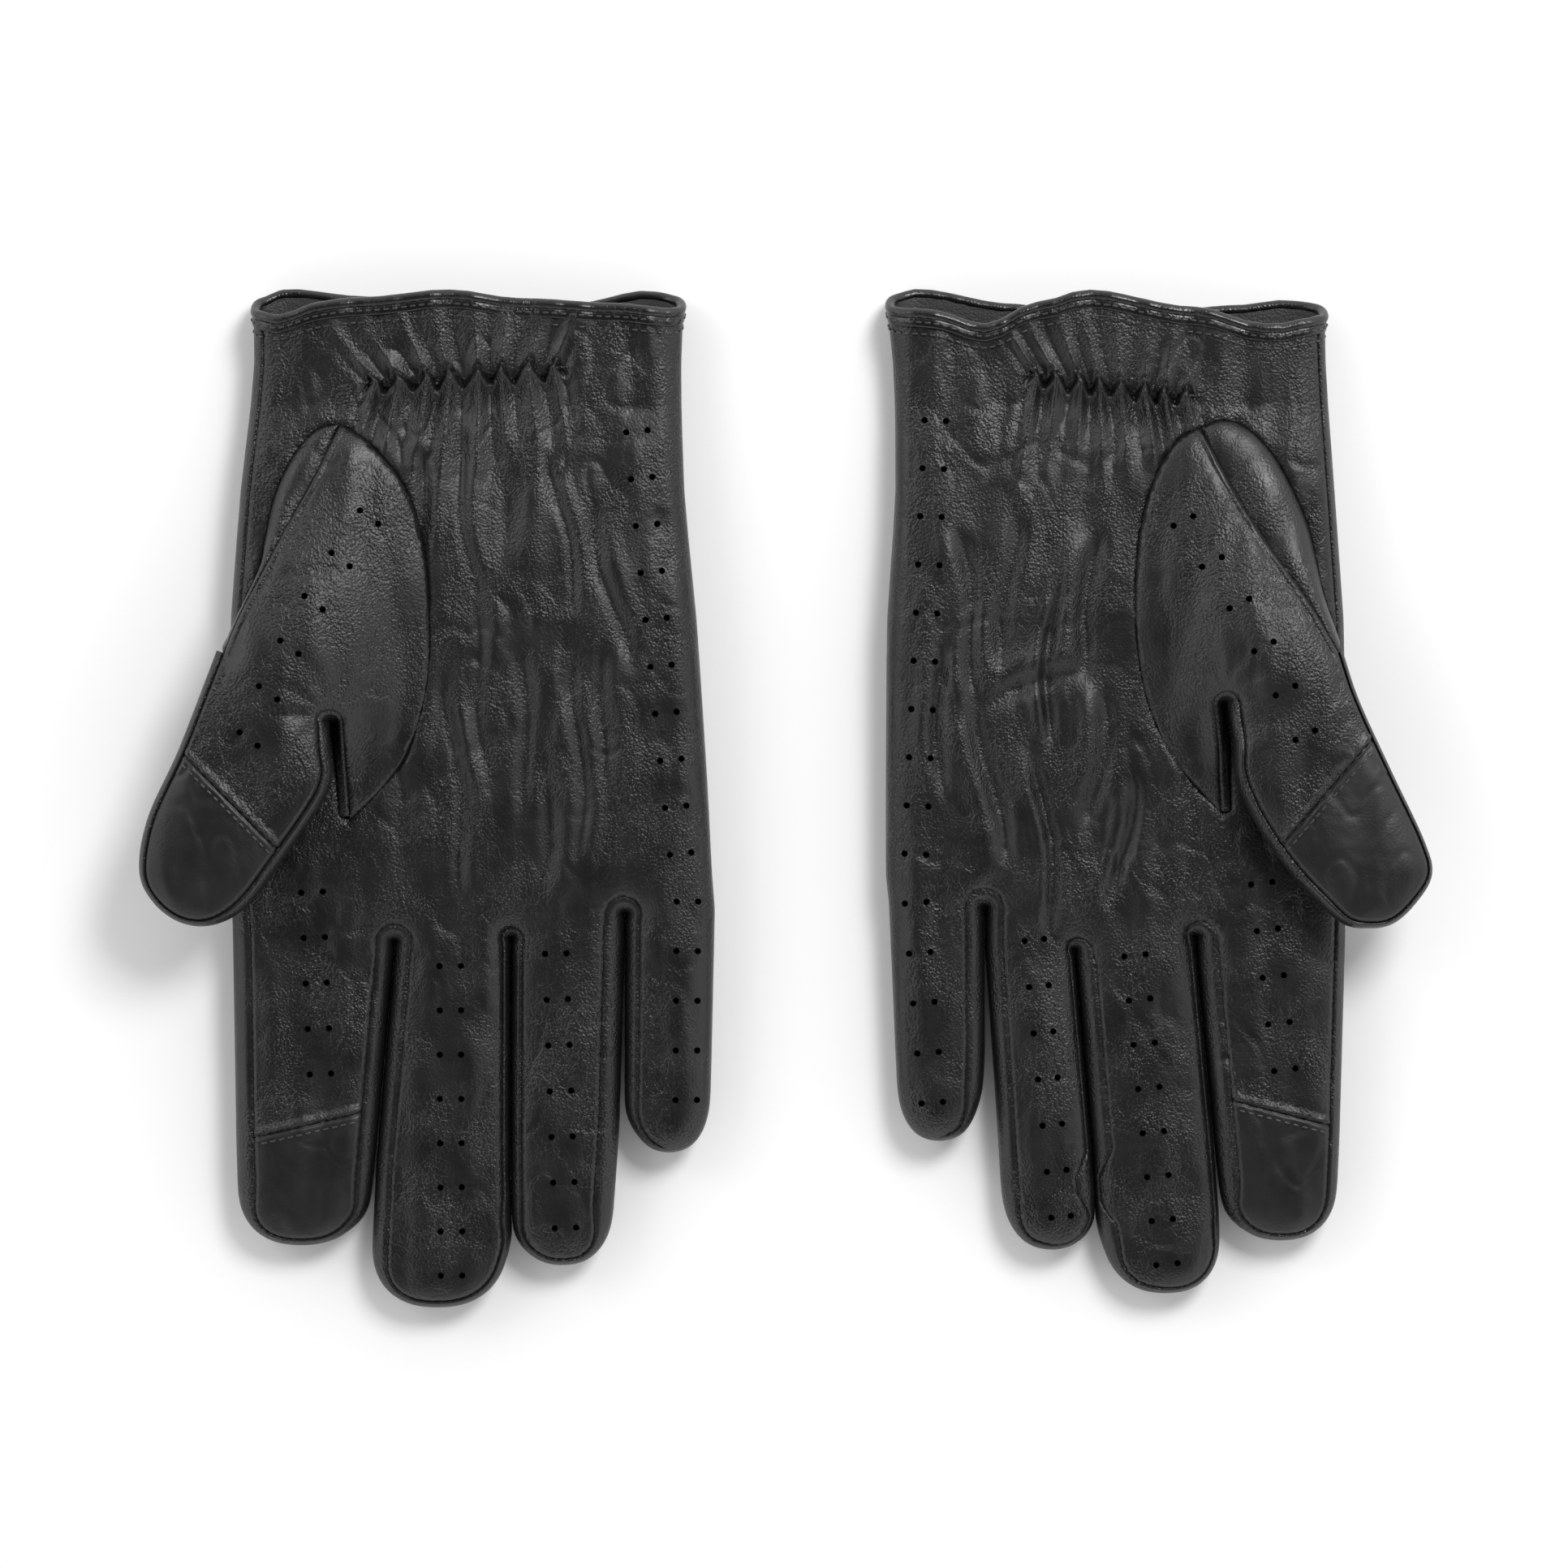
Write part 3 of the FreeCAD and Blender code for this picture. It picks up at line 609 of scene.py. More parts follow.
    def tip_line(self, number):
        """y at which a finger's tip begins: its bending line, or the low end of the touch patch."""
        found = self.fingers[FINGERS[number]]
        if number > 0:
            return found["bend"]
        return y_on(self.index_patch, self.sides("index", found["bend"])[0])

    def finger_at(self, xy):
        """Number of the finger whose column each point lies in."""
        xy = np.asarray(xy, float)
        off = []
        for finger in FINGERS:
            low, high = self.sides(finger, xy[:, 1])
            beyond = np.maximum(self.fingers[finger]["tip"] - 0.5 - xy[:, 1], 0)
            off.append(np.abs(xy[:, 0] - (low + high) / 2) / (high - low) + beyond / 4)
        return np.argmin(off, 0)

    def front_inset(self, p):
        """Distance from the silhouette to the seam seen from the palm side."""
        number = self.finger_at([p])[0]
        finger = self.fingers[FINGERS[number]]
        low, high = self.sides(FINGERS[number], p[1])
        strip = finger["strips"][0 if p[0] < (low + high) / 2 else 1]
        if p[1] > finger["root"] and number in (0, 3):
            outer = self.looks["edge_lap"] if number == 0 else strip
            if p[0] < self.low_x[0] + 8 or p[0] > self.high_x[0] - 8:
                return outer + (strip - outer) * float(smooth((-p[1]) / -finger["root"]))
        end = float(smooth((p[1] - finger["tip"]) / 14))
        tip = min(TIP_INSET, strip)
        return tip + (strip - tip) * end

    def top(self, xy, distance=None):
        """Height of the palm-side leather, before folds."""
        if distance is None:
            distance = self.outline.distance(xy)
        height = self.height(xy[:, 1])
        return height / 2 + height / 2 * edge_shape(distance)

    def palm_surface(self, xy):
        """Height of the palm-side leather with its folds."""
        distance = self.outline.distance(xy)
        return self.top(xy, distance) + palm_relief(self, xy, distance)

    def bottom(self, xy):
        """Height of the back leather, which the glove lies on."""
        height = self.height(xy[:, 1])
        return height / 2 - (height / 2 - 0.5) * edge_shape(self.outline.distance(xy))


# Folds in the leather --------------------------------------------------------------------------

def value_noise(xy, size_x, size_y, seed):
    """Smooth noise with features of the given size."""
    return np.array([noise.noise(Vector((x / size_x, y / size_y, seed))) for x, y in xy])


def triangle_wave(phase):
    """Runs evenly between -1 and 1 and back once for every 1 of the phase."""
    return 1 - 4 * np.abs(phase - np.floor(phase) - 0.5)


def gather_place(glove, xy):
    """Distance above the gather line, place across it, and how far inside its ends."""
    line = np.array(glove.looks["gather"])
    off = xy[:, 1] - y_on(line, xy[:, 0])
    centre, half = line[:, 0].mean(), (line[1, 0] - line[0, 0]) / 2
    lean = np.where(off > 0, -0.18 * glove.flip * off, 0.05 * off)
    across = (xy[:, 0] - centre - lean) / (1 + np.where(off > 0, 0.03 * off, -0.012 * off))
    return off, across, half


GATHERS = 7.5             # folds between the ends of the elastic
TOOTH_HEIGHT = 2.7        # of the zigzag line of stitching over the gathers


def gather_relief(glove, xy):
    """Ridges that stand along the wrist elastic and run out into the palm and the cuff."""
    off, across, half = gather_place(glove, xy)
    phase = across / (2 * half) * GATHERS + 0.07 * np.sin(across * 0.45 + glove.looks["seed"])
    wave = triangle_wave(phase)
    ridge = ((wave + 1) / 2) ** 1.4
    number = np.floor(phase)
    vary = 0.5 + 0.5 * np.sin(number * 12.9898 + glove.looks["seed"])
    window = 1 - smooth((np.abs(across) - half + 4) / 9)
    above = 2.6 * np.exp(-np.abs(off) / 8.0)
    below = 2.2 * np.exp(-np.abs(off) / 7.0) + 1.5 * bell(off, 14 + 24 * vary)
    swell = np.where(off > 0, above, below) * (ridge - 0.45)
    zigzag = off - TOOTH_HEIGHT * (0.95 + 0.15 * np.sin(1.9 * phase + glove.looks["seed"])) * wave
    line = -1.3 * bell(zigzag, 0.55) * (1 - smooth((np.abs(across) - half) / 1.5))
    lip = 0.9 * bell(zigzag + 1.4, 0.9)
    return window * (swell + lip) + line


def fold_relief(glove, xy):
    """Long soft folds down the palm, each a valley with a ridge beside it."""
    total = np.zeros(len(xy))
    depth = glove.looks["fold_depth"]
    for number, (x0, y0, x1, y1) in enumerate(glove.looks["folds"]):
        run = np.array([x1 - x0, y1 - y0])
        length = np.linalg.norm(run)
        run /= length
        off = xy - np.array([x0, y0])
        along = off @ run
        side = off @ np.array([-run[1], run[0]]) + 1.2 * np.sin(along / 7.0 + number)
        fade = smooth((along + 6) / 12) * smooth((length + 6 - along) / 12)
        width = 1.7 + 0.5 * math.sin(number * 2.3)
        valley = -0.8 * depth * bell(side, width)
        crest = 0.6 * depth * bell(side - 2.2 * width, 1.4 * width)
        total += fade * (valley + crest)
    return total


def wrinkle_relief(glove, xy):
    """Fine irregular creases and a soft unevenness."""
    seed = glove.looks["seed"]
    broad = value_noise(xy, 13.0, 22.0, seed)
    crease = 1 - np.abs(value_noise(xy + 3 * broad[:, None], 7.5, 13.0, seed + 7))
    fine = 1 - np.abs(value_noise(xy, 3.2, 4.4, seed + 13))
    patchy = smooth(value_noise(xy, 24.0, 24.0, seed + 20) + 0.6)
    long = value_noise(xy, 6.0, 26.0, seed + 31)
    lines = 2.4 * np.clip(crease - 0.86, 0, 1) + 0.48 * np.clip(fine - 0.8, 0, 1)
    return 0.8 * broad + 0.8 * long - lines * patchy


def palm_relief(glove, xy, distance):
    """Everything that lifts the palm leather off its smooth height, less near the edge."""
    relief = gather_relief(glove, xy) + fold_relief(glove, xy) + wrinkle_relief(glove, xy)
    return relief * smooth(distance / 6)


# Making pieces ---------------------------------------------------------------------------------

def make_piece(glove, name, points, faces, finish, bodies=("hand",), replaced=(), normals=None):
    """A mesh object that rides on one body; given (body, body, start, end) it is baked into world space and rides
    on none.
    """
    prefix = glove.name + "_"
    normals = point_normals(points, faces) if normals is None else normals
    used, place = np.unique(faces, return_inverse=True)
    faces = place.reshape(faces.shape)
    if glove.flip < 0:
        faces = faces[:, ::-1]
    mesh = bpy.data.meshes.new(prefix + name)
    mesh.from_pydata(glove.world(points[used]).tolist(), [], faces.tolist())
    mesh.polygons.foreach_set("use_smooth", [True] * len(faces))
    facing = normals[used] * np.array([glove.flip, 1, 1])
    mesh.normals_split_custom_set_from_vertices(facing.tolist())
    mesh.materials.append(FINISH[finish]["material"])
    obj = bpy.data.objects.new(mesh.name, mesh)
    bpy.context.scene.collection.objects.link(obj)
    if len(bodies) == 1:
        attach(obj, prefix + bodies[0])
    else:
        first, second, start, end = bodies
        glove.world(start)
        glove.world(end)
        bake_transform(obj)
    if replaced:
        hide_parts(*[prefix + node for node in replaced])


def merged(parts):
    """One set of points and faces from several with equally sided faces."""
    points, faces, first = [], [], 0
    for more_points, more_faces in parts:
        points.append(more_points)
        faces.append(more_faces + first)
        first += len(more_points)
    return np.vstack(points), np.vstack(faces)


def quads_to_triangles(faces):
    return np.vstack([faces[:, [0, 1, 2]], faces[:, [0, 2, 3]]])


def finger_bodies(glove, number, zone):
    """Bodies for a finger's leather below and above its bending line, with two points along the finger."""
    finger = FINGERS[number]
    found = glove.fingers[finger]
    start = found["root"] if zone == "base" else glove.tip_line(number)
    bodies = ("hand", finger) if zone == "base" else (finger, finger + "_tip")
    return bodies + ((0, start, 0), (0, start - BLEND_LENGTH, 0))


# Hand and fingers ------------------------------------------------------------------------------

SEAM_ROWS = [0.5, 1.1]    # rows of points beside a seam, to shape its groove


def seam_rows(line, offsets):
    """Rows of points beside a line, on the left of its direction of travel for positive offsets."""
    normal = inward(line)
    return [line + normal * offset for offset in offsets]


def closed_at_cuff(seam, cuff):
    """A seam line closed by the cuff edge into a loop."""
    x = np.linspace(seam[-1, 0], seam[0, 0], 110)[1:-1]
    return np.vstack([seam, np.stack([x, cuff(x) - UNDER_BINDING], 1)])


def palm_holes(glove):
    """Centres of the punched holes, in pairs along the fingers and down the little-finger side."""
    centres = []
    for start, end, count, gap in glove.looks["hole_lines"]:
        run = np.array(end) - np.array(start)
        side = np.array([-run[1], run[0]]) / np.linalg.norm(run)
        centres += hole_pairs(start, end, count, side * gap if side[0] > 0 else -side * gap)
    return centres


def seam_groove(run, inset):
    """How far the leather is pulled down along a turned seam; edges hidden at the side have none."""
    needle = 0.8 + 0.2 * np.cos(2 * math.pi * run / STITCH_PITCH)
    return GROOVE_DEPTH * smooth((inset - 0.8) / 0.8) * needle


def finger_cuts(glove):
    """Lines across the fingers at their roots and where their tips begin."""
    cuts = []
    for number, finger in enumerate(FINGERS):
        for y in (glove.fingers[finger]["root"], glove.tip_line(number)):
            low, high = glove.sides(finger, y)
            cuts.append([(low - 0.3, y), (high + 0.3, y)])
    return cuts


def rows_to_edge(edge, normal, inset, middle, seam_z, groove):
    """Rows of points from a front seam out to the silhouette, where the height is the middle one."""
    rows = []
    for share in EDGE_SHARES:
        distance = inset * share
        z = middle + (seam_z - middle) * edge_shape(distance) / np.maximum(edge_shape(inset), 1e-6)
        rows.append(np.column_stack([edge + normal * distance[:, None], z]))
    rows[0][:, 2] -= groove
    return rows


def hand_front(glove):
    """The palm leather with the palm side of the four fingers."""
    seam = glove.front_seam
    loop = closed_at_cuff(seam, glove.palm_cuff)
    lobe = Line(np.vstack([glove.footprint, glove.footprint[:1]]))
    rows = seam_rows(seam, SEAM_ROWS)
    rows += seam_rows(lobe.points, [-0.9, -0.45, 0.0, 0.5])
    patch = glove.index_patch
    cuts = finger_cuts(glove)
    cuts[1] = patch
    rows += seam_rows(resample(patch, SPACING), PATCH_ROWS)
    (x0, y0), (x1, y1) = glove.looks["gather"]
    fine = ((x0 - 5, min(y0, y1) - 14), (x1 + 5, max(y0, y1) + 9))
    holes = [c for c in palm_holes(glove) if inside(np.array([c]), loop)[0]
             and not inside(np.array([c]), glove.footprint)[0]]
    plan, faces = plate(loop, rows, holes, cuts, fine)
    z = glove.palm_surface(plan)
    to_seam, place = Line(seam).locate(plan)
    inset = np.interp(place, np.arange(len(seam)), glove.seam_inset)
    z -= np.where(to_seam < ON_SEAM, seam_groove(place * EDGE_STEP, inset), 0)
    z += ridge_beside(plan, patch, finger_mask(glove, plan, 0))
    to_lobe = lobe.distance(plan)
    under = inside(plan, glove.footprint)
    z -= np.where(under, 1.1 * smooth(to_lobe / 1.0 + 0.3), 0.5 * (1 - smooth(to_lobe / 0.8)))
    points = np.column_stack([plan, z])
    middle = plan[faces].mean(1)
    hidden = inside(middle, glove.footprint) & (lobe.distance(middle) > 3.0)
    return points, faces[~hidden], holes


def finger_mask(glove, plan, number):
    """Which points lie on a finger beyond its root."""
    return (glove.finger_at(plan) == number) & (plan[:, 1] < glove.fingers[FINGERS[number]]["root"])


def ridge_beside(plan, line, where):
    """A turned seam across a panel: a thin raised lip on one side of a pressed line."""
    (x0, y0), (x1, y1) = line
    run = np.array([x1 - x0, y1 - y0])
    run = run / np.linalg.norm(run)
    side = (plan - line[0]) @ np.array([-run[1], run[0]])
    side = side if run[0] > 0 else -side
    lip = 0.7 * bell(side - 0.8, 0.5)
    press = -0.8 * bell(side, 0.35)
    return np.where(where, lip + press, 0)


def wall_band(glove):
    """The leather round the edges of hand and fingers, from the front seam to the back seam."""
    edge, normal, inset = glove.edge, glove.edge_inward, glove.edge_inset
    middle = glove.height(edge[:, 1]) / 2
    groove = seam_groove(np.arange(len(edge)) * EDGE_STEP, inset)
    z_front = glove.palm_surface(edge + normal * inset[:, None])
    rows = rows_to_edge(edge, normal, inset, middle, z_front, groove)
    back = edge + normal * UNDER_SEAM
    z_back = glove.bottom(back)
    for share in np.linspace(0.12, 1.0, 8) ** EDGE_CROWDING:
        distance = UNDER_SEAM * share
        z = middle + (z_back - middle) * edge_shape(distance) / edge_shape(UNDER_SEAM)
        rows.append(np.column_stack([edge + normal * distance, z]))
    rows[-1][:, 2] += BACK_SEAM_LIFT
    points = np.vstack(rows)
    share = smooth(points[:, 2] / np.tile(2 * middle, len(rows)))
    palm, back = glove.palm_cuff(points[:, 0]), glove.back_cuff(points[:, 0])
    points[:, 1] = np.minimum(points[:, 1], back + (palm - back) * share - UNDER_BINDING)
    return points, grid_faces(len(rows), len(edge)), edge


def hand_back(glove):
    """The back of hand and fingers, which the glove lies on, with three rows of raised pointing."""
    seam = glove.back_seam
    loop = closed_at_cuff(seam, glove.back_cuff)
    pointing = [np.array([(x, 78.0), (x * 1.05, 20.0)]) for x in (-24.0, 0.0, 24.0)]
    rows = []
    for line in pointing:
        rows += seam_rows(resample(line, SPACING), [-0.8, 0.0, 0.8])
    plan, faces = plate(loop, rows, (), finger_cuts(glove))
    z = glove.bottom(plan) + 0.25 * value_noise(plan, 16.0, 20.0, glove.looks["seed"] + 40) + 0.1
    for line in pointing:
        z -= 0.45 * bell(Line(resample(line, SPACING)).distance(plan), 0.7)
    to_seam = Line(seam).distance(plan)
    z += np.where(to_seam < ON_SEAM, BACK_SEAM_LIFT, 0)
    return np.column_stack([plan, np.maximum(z, 0.02)]), faces[:, ::-1]


def split_by_zone(glove, name, points, faces, normals, replaced, middle=None, number=None):
    """Cuts a mesh of the whole hand and fingers into a hand piece, which rides on the hand, and a base and a tip
    piece for each finger.
    """
    middle = points[faces].mean(1)[:, :2] if middle is None else middle
    number = glove.finger_at(middle) if number is None else number
    root = np.array([glove.fingers[f]["root"] for f in FINGERS])[number]
    tip = np.array([glove.tip_line(i) for i in range(len(FINGERS))])[number]
    if name == "palm":
        tip = np.where(number == 0, np.interp(middle[:, 0], *glove.index_patch.T), tip)
    hand = middle[:, 1] > root
    make_piece(glove, "hand_" + name, points, faces[hand], "leather", ("hand",),
               replaced.get("hand", ()), normals)
    for i, finger in enumerate(FINGERS):
        for zone, stem in (("base", "_"), ("tip", "_tip_")):
            chosen = (number == i) & ~hand & ((middle[:, 1] > tip) == (zone == "base"))
            finish = "touch_patch" if name == "palm" and i == 0 and zone == "tip" else "leather"
            nodes = [finger + n for n in replaced.get(zone, ()) if finger + n in glove.meshes]
            make_piece(glove, finger + stem + name + "_leather", points, faces[chosen], finish,
                       finger_bodies(glove, i, zone), nodes, normals)


def with_hole_walls(points, faces, holes):
    """Points, triangles and normals of a punched plate together with the walls of its holes."""
    walls, wall_faces = hole_walls(points, holes)
    normals = np.vstack([point_normals(points, faces), point_normals(walls, wall_faces)])
    faces = np.vstack([faces, quads_to_triangles(wall_faces) + len(points)])
    return np.vstack([points, walls]), faces, normals


def build_hand(glove):
    """The palm, sides and back of hand and fingers."""
    split_by_zone(glove, "palm", *with_hole_walls(*hand_front(glove)),
                  {"hand": ("palm_panel",), "base": ("_front",), "tip": ("_tip_front", "_touch_patch")})
    points, faces, edge = wall_band(glove)
    columns = len(edge) - 1
    rows = len(faces) // columns
    middle = np.tile((edge[:-1] + edge[1:]) / 2, (rows, 1))
    tops = [np.argmin(np.linalg.norm(edge - np.array(fork), axis=1)) for fork in glove.looks["forks"]]
    number = np.tile(np.searchsorted(tops, np.arange(columns), side="right"), rows)
    real = np.linalg.norm(face_normals(points, faces), axis=1) > 1e-3
    split_by_zone(glove, "sides", points, faces[real], point_normals(points, faces[real]),
                  {"base": ("_side_strips",)}, middle[real], number[real])
    points, faces = hand_back(glove)
    split_by_zone(glove, "back", points, faces, point_normals(points, faces),
                  {"hand": ("back_panel",), "base": ("_back",), "tip": ("_tip_back",)})


# Keystone and thumb ----------------------------------------------------------------------------

THUMB_UNDER_SEAM = 4.0    # distance of the thumb's back seam from its edge
KEYSTONE_LENGTH = 61.0    # from the thumb's root line back to the top of the keystone's lobe
TAIL_LENGTH = 30.0        # over which the keystone sinks beside the thumb
THUMB_STRIP = 2.4         # side strip between thumb and hand, seen from the palm side
THUMB_TIP_INSET = 1.4     # distance of the front seam from the very end of the thumb


class Thumb:
    """Plan lines of one thumb, its keystone and the slot between thumb and hand."""

    def __init__(self, glove):
        self.glove = glove
        looks = glove.looks
        side = spline(looks["thumb"], EDGE_STEP)
        slot = spline(looks["slot"], EDGE_STEP)
        self.slot = slot
        self.side_count = len(side)
        path = np.vstack([side, slot])
        inset = np.where(path[:, 1] < 2, looks["thumb_lap"], THUMB_STRIP)
        inset[self.side_count:] = THUMB_STRIP
        end = smooth((side[:, 0].max() - path[:, 0]) / 10)
        end[self.side_count:] = 1
        inset = THUMB_TIP_INSET + (inset - THUMB_TIP_INSET) * end
        self.inset = moving_average(inset, 4)
        facing = np.vstack([inward(side), inward(slot)])
        self.round_apex(path, facing)
        self.edge = glove.thumb_xy(self.path)
        self.inward = self.facing[:, :1] * glove.along + self.facing[:, 1:] * glove.across
        self.front_seam = self.edge + self.inward * self.inset[:, None]
        side = np.vstack([[(-40.0, side[0, 1])], side, [(-40.0, side[-1, 1])]])
        self.side_line = Line(resample(glove.thumb_xy(side), EDGE_STEP))
        start_b = looks["thumb"][0][1] + looks["thumb_lap"]
        self.outer = glove.thumb_xy(spline(looks["outer_seam"] + [(0.0, start_b)], EDGE_STEP))
        self.outer_place = np.array(glove.thumb_place(self.outer)).T
        self.key_place = np.array(glove.thumb_place(glove.keystone)).T
        self.patch = np.array(looks["thumb_patch"], float)
        self.tip_start = self.patch[:, 0].max()
        self.middle = (glove.thumb_low + glove.thumb_top) / 2
        self.half = (glove.thumb_top - glove.thumb_low) / 2

    def round_apex(self, path, facing):
        """Makes the seam round the top of the slot between thumb and hand an arch."""
        before, after = self.side_count - 2, self.side_count + 2
        turns = [math.atan2(facing[i, 1], facing[i, 0]) % (2 * math.pi) for i in (before, after)]
        self.path, self.facing, self.inset = with_arch(
            path, facing, self.inset, before, after, (path[before] + path[after]) / 2, 0.4, turns,
            np.full(ARCH_POINTS, THUMB_STRIP))
        self.side_count = before + 1 + ARCH_POINTS // 2

    def beyond_slot(self, s, b):
        """Which points lie on the hand's side of the slot between thumb and hand."""
        return b > np.interp(s, self.slot[:, 0], self.slot[:, 1])

    def on_thumb(self, s, b):
        return (s > 0) & ~self.beyond_slot(s, b)

    def height(self, xy):
        """Palm-side surface of keystone and thumb."""
        s, b = self.glove.thumb_place(xy)
        ground = self.glove.top(xy)
        left = np.interp(s, self.outer_place[:, 0], self.outer_place[:, 1])
        right = np.interp(s, self.key_place[:, 0], self.key_place[:, 1])
        share = np.clip((b - left) / np.maximum(right - left, 1.0), 0, 1)
        near = 0.7 + 0.3 * np.sin(math.pi / 2 * np.clip(share / 0.3, 0, 1))
        far = 0.5 * (1 + np.cos(math.pi * np.clip((share - 0.3) / 0.7, 0, 1)))
        profile = np.where(share < 0.3, near, far)
        rise = smooth((s + KEYSTONE_LENGTH) / KEYSTONE_LENGTH) * (1 - smooth((s - 2) / TAIL_LENGTH))
        keystone = ground + (self.glove.thumb_top - ground) * profile * rise
        keystone += 1.5 * (1 - np.exp(-Line(self.glove.keystone).distance(xy) / 1.6)) * (1 - 0.6 * rise)
        keystone += 0.8 * (1 - smooth((s + 40) / 30)) * (1 - np.exp(-Line(self.outer).distance(xy) / 1.2))
        tube = self.middle + self.half * edge_shape(self.side_line.distance(xy))
        gap = np.interp(s, self.slot[:, 0], self.slot[:, 1]) - b
        lateral = smooth((gap + 1.2 * np.maximum(s - self.slot[0, 0], 0)) / 7)
        turn = smooth((s + 4) / 16) * np.where(self.beyond_slot(s, b), 0, lateral)
        return keystone + (tube - keystone) * turn

    def relief(self, xy):
        """Creases, and short folds that spread from the top of the slot."""
        edge = np.minimum(Line(self.front_seam).distance(xy), Line(self.glove.keystone).distance(xy))
        crotch = self.front_seam[self.side_count]
        away = np.linalg.norm(xy - crotch, axis=1)
        turn = np.arctan2(xy[:, 1] - crotch[1], xy[:, 0] - crotch[0])
        spokes = np.sin(turn * 9) * bell(away - 7, 5)
        return (0.8 * wrinkle_relief(self.glove, xy) + 0.18 * spokes) * smooth(edge / 5)

    def seam_line_relief(self, xy):
        """The line of topstitching beside the outer seam and the turned seam of the touch patch."""
        to_outer = Line(np.vstack([self.outer, self.front_seam[:int(30 / EDGE_STEP)]])).distance(xy)
        stitched = -0.3 * bell(to_outer - 1.75, 0.35) + 0.25 * bell(to_outer - 0.9, 0.5)
        on_thumb = self.on_thumb(*self.glove.thumb_place(xy))
        return stitched + ridge_beside(xy, self.glove.thumb_xy(self.patch), on_thumb)


def thumb_zone(thumb, s, b):
    """0 for leather that stays with the hand, 1 for the thumb's base, 2 for its touch patch."""
    patch_edge = np.interp(b, thumb.patch[:, 1], thumb.patch[:, 0])
    return np.where(thumb.on_thumb(s, b), np.where(s > patch_edge, 2, 1), 0)


def thumb_bodies(glove, thumb, zone):
    """Body of a zone's leather, or two bodies with two points along the thumb."""
    if zone == 0:
        return ("hand",)
    first, second, start = ("hand", "thumb", 0.0) if zone == 1 else ("thumb", "thumb_tip", thumb.tip_start)
    ends = glove.thumb_xy([(start, 0.0), (start + BLEND_LENGTH, 0.0)])
    return first, second, (*ends[0], 0), (*ends[1], 0)


def keystone_sheet(glove, thumb):
    """The leather of keystone, thumb and touch patch, seen from the palm side."""
    key = glove.keystone[::-1]
    loop = np.vstack([thumb.outer[:-1], thumb.front_seam, key[1:]])
    rows = seam_rows(thumb.outer, [0.5, 0.9, 1.4, 1.75, 2.1])
    rows += seam_rows(thumb.front_seam, SEAM_ROWS)
    rows += seam_rows(key, [0.3, 0.7, 1.3])
    patch = glove.thumb_xy(thumb.patch)
    rows += seam_rows(resample(patch, SPACING), PATCH_ROWS)
    cuts = [glove.thumb_xy([(0.0, -20.0), (0.0, thumb.slot[0, 1])]), patch]
    holes = hole_pairs(*glove.looks["thumb_holes"], bow=(-1.6, 0.6))
    holes = [c for c in holes if inside(np.array([c]), loop)[0]]
    plan, faces = plate(loop, rows, holes, cuts)
    z = thumb.height(plan) + thumb.relief(plan) + thumb.seam_line_relief(plan)
    on_front = Line(np.vstack([thumb.outer, thumb.front_seam[1:]])).distance(plan) < ON_THUMB_SEAM
    z -= np.where(on_front, GROOVE_DEPTH, 0)
    on_key = Line(key).distance(plan) < ON_THUMB_SEAM
    z = np.where(on_key, glove.palm_surface(plan) - 0.45, z)
    points, faces, normals = with_hole_walls(np.column_stack([plan, z]), faces, holes)
    zone = thumb_zone(thumb, *glove.thumb_place(points[faces].mean(1)[:, :2]))
    for number, (name, node, finish) in enumerate((
            ("keystone", "thumb_keystone", "leather"),
            ("thumb_palm_leather", "thumb_front", "leather"),
            ("thumb_patch_leather", "thumb_touch_patch", "touch_patch"))):
        make_piece(glove, name, points, faces[zone == number], finish,
                   thumb_bodies(glove, thumb, number), (node,), normals)


def thumb_walls(glove, thumb):
    """The thumb's edge, round to its back seam, and the strips either side of the slot."""
    top = thumb.height(thumb.front_seam) + thumb.relief(thumb.front_seam)
    ground = glove.palm_surface(thumb.edge) - 0.3
    sink = np.ones(len(thumb.edge))
    run = (thumb.side_count - 1 - np.arange(thumb.side_count)) * EDGE_STEP
    sink[:thumb.side_count] = smooth(1 - run / 9)
    low = thumb.middle + (ground - thumb.middle) * sink
    side_rows = rows_to_edge(thumb.edge, thumb.inward, thumb.inset, low, top, GROOVE_DEPTH)
    edge, normal, low = [values[:thumb.side_count] for values in (thumb.edge, thumb.inward, low)]
    under_rows = []
    for share in np.linspace(0.0, 1.0, 9) ** EDGE_CROWDING:
        z = low + (glove.thumb_low - low) * edge_shape(THUMB_UNDER_SEAM * share)
        under_rows.append(np.column_stack([edge + normal * THUMB_UNDER_SEAM * share, z]))
    for name, rows, line in (("side", side_rows, thumb.edge), ("under", under_rows, edge)):
        points, faces = np.vstack(rows), grid_faces(len(rows), len(line))
        column = np.tile(np.arange(len(line) - 1), len(rows) - 1)
        s = glove.thumb_place((line[:-1] + line[1:]) / 2)[0][column]
        zone = np.where((s > 0) & (column < thumb.side_count - 1), np.where(s > thumb.tip_start, 2, 1), 0)
        for number, stem in enumerate(["thumb_root_", "thumb_", "thumb_tip_"]):
            if (zone == number).any():
                make_piece(glove, stem + name + "_strip", points, faces[zone == number], "leather",
                           thumb_bodies(glove, thumb, number), (), point_normals(points, faces))


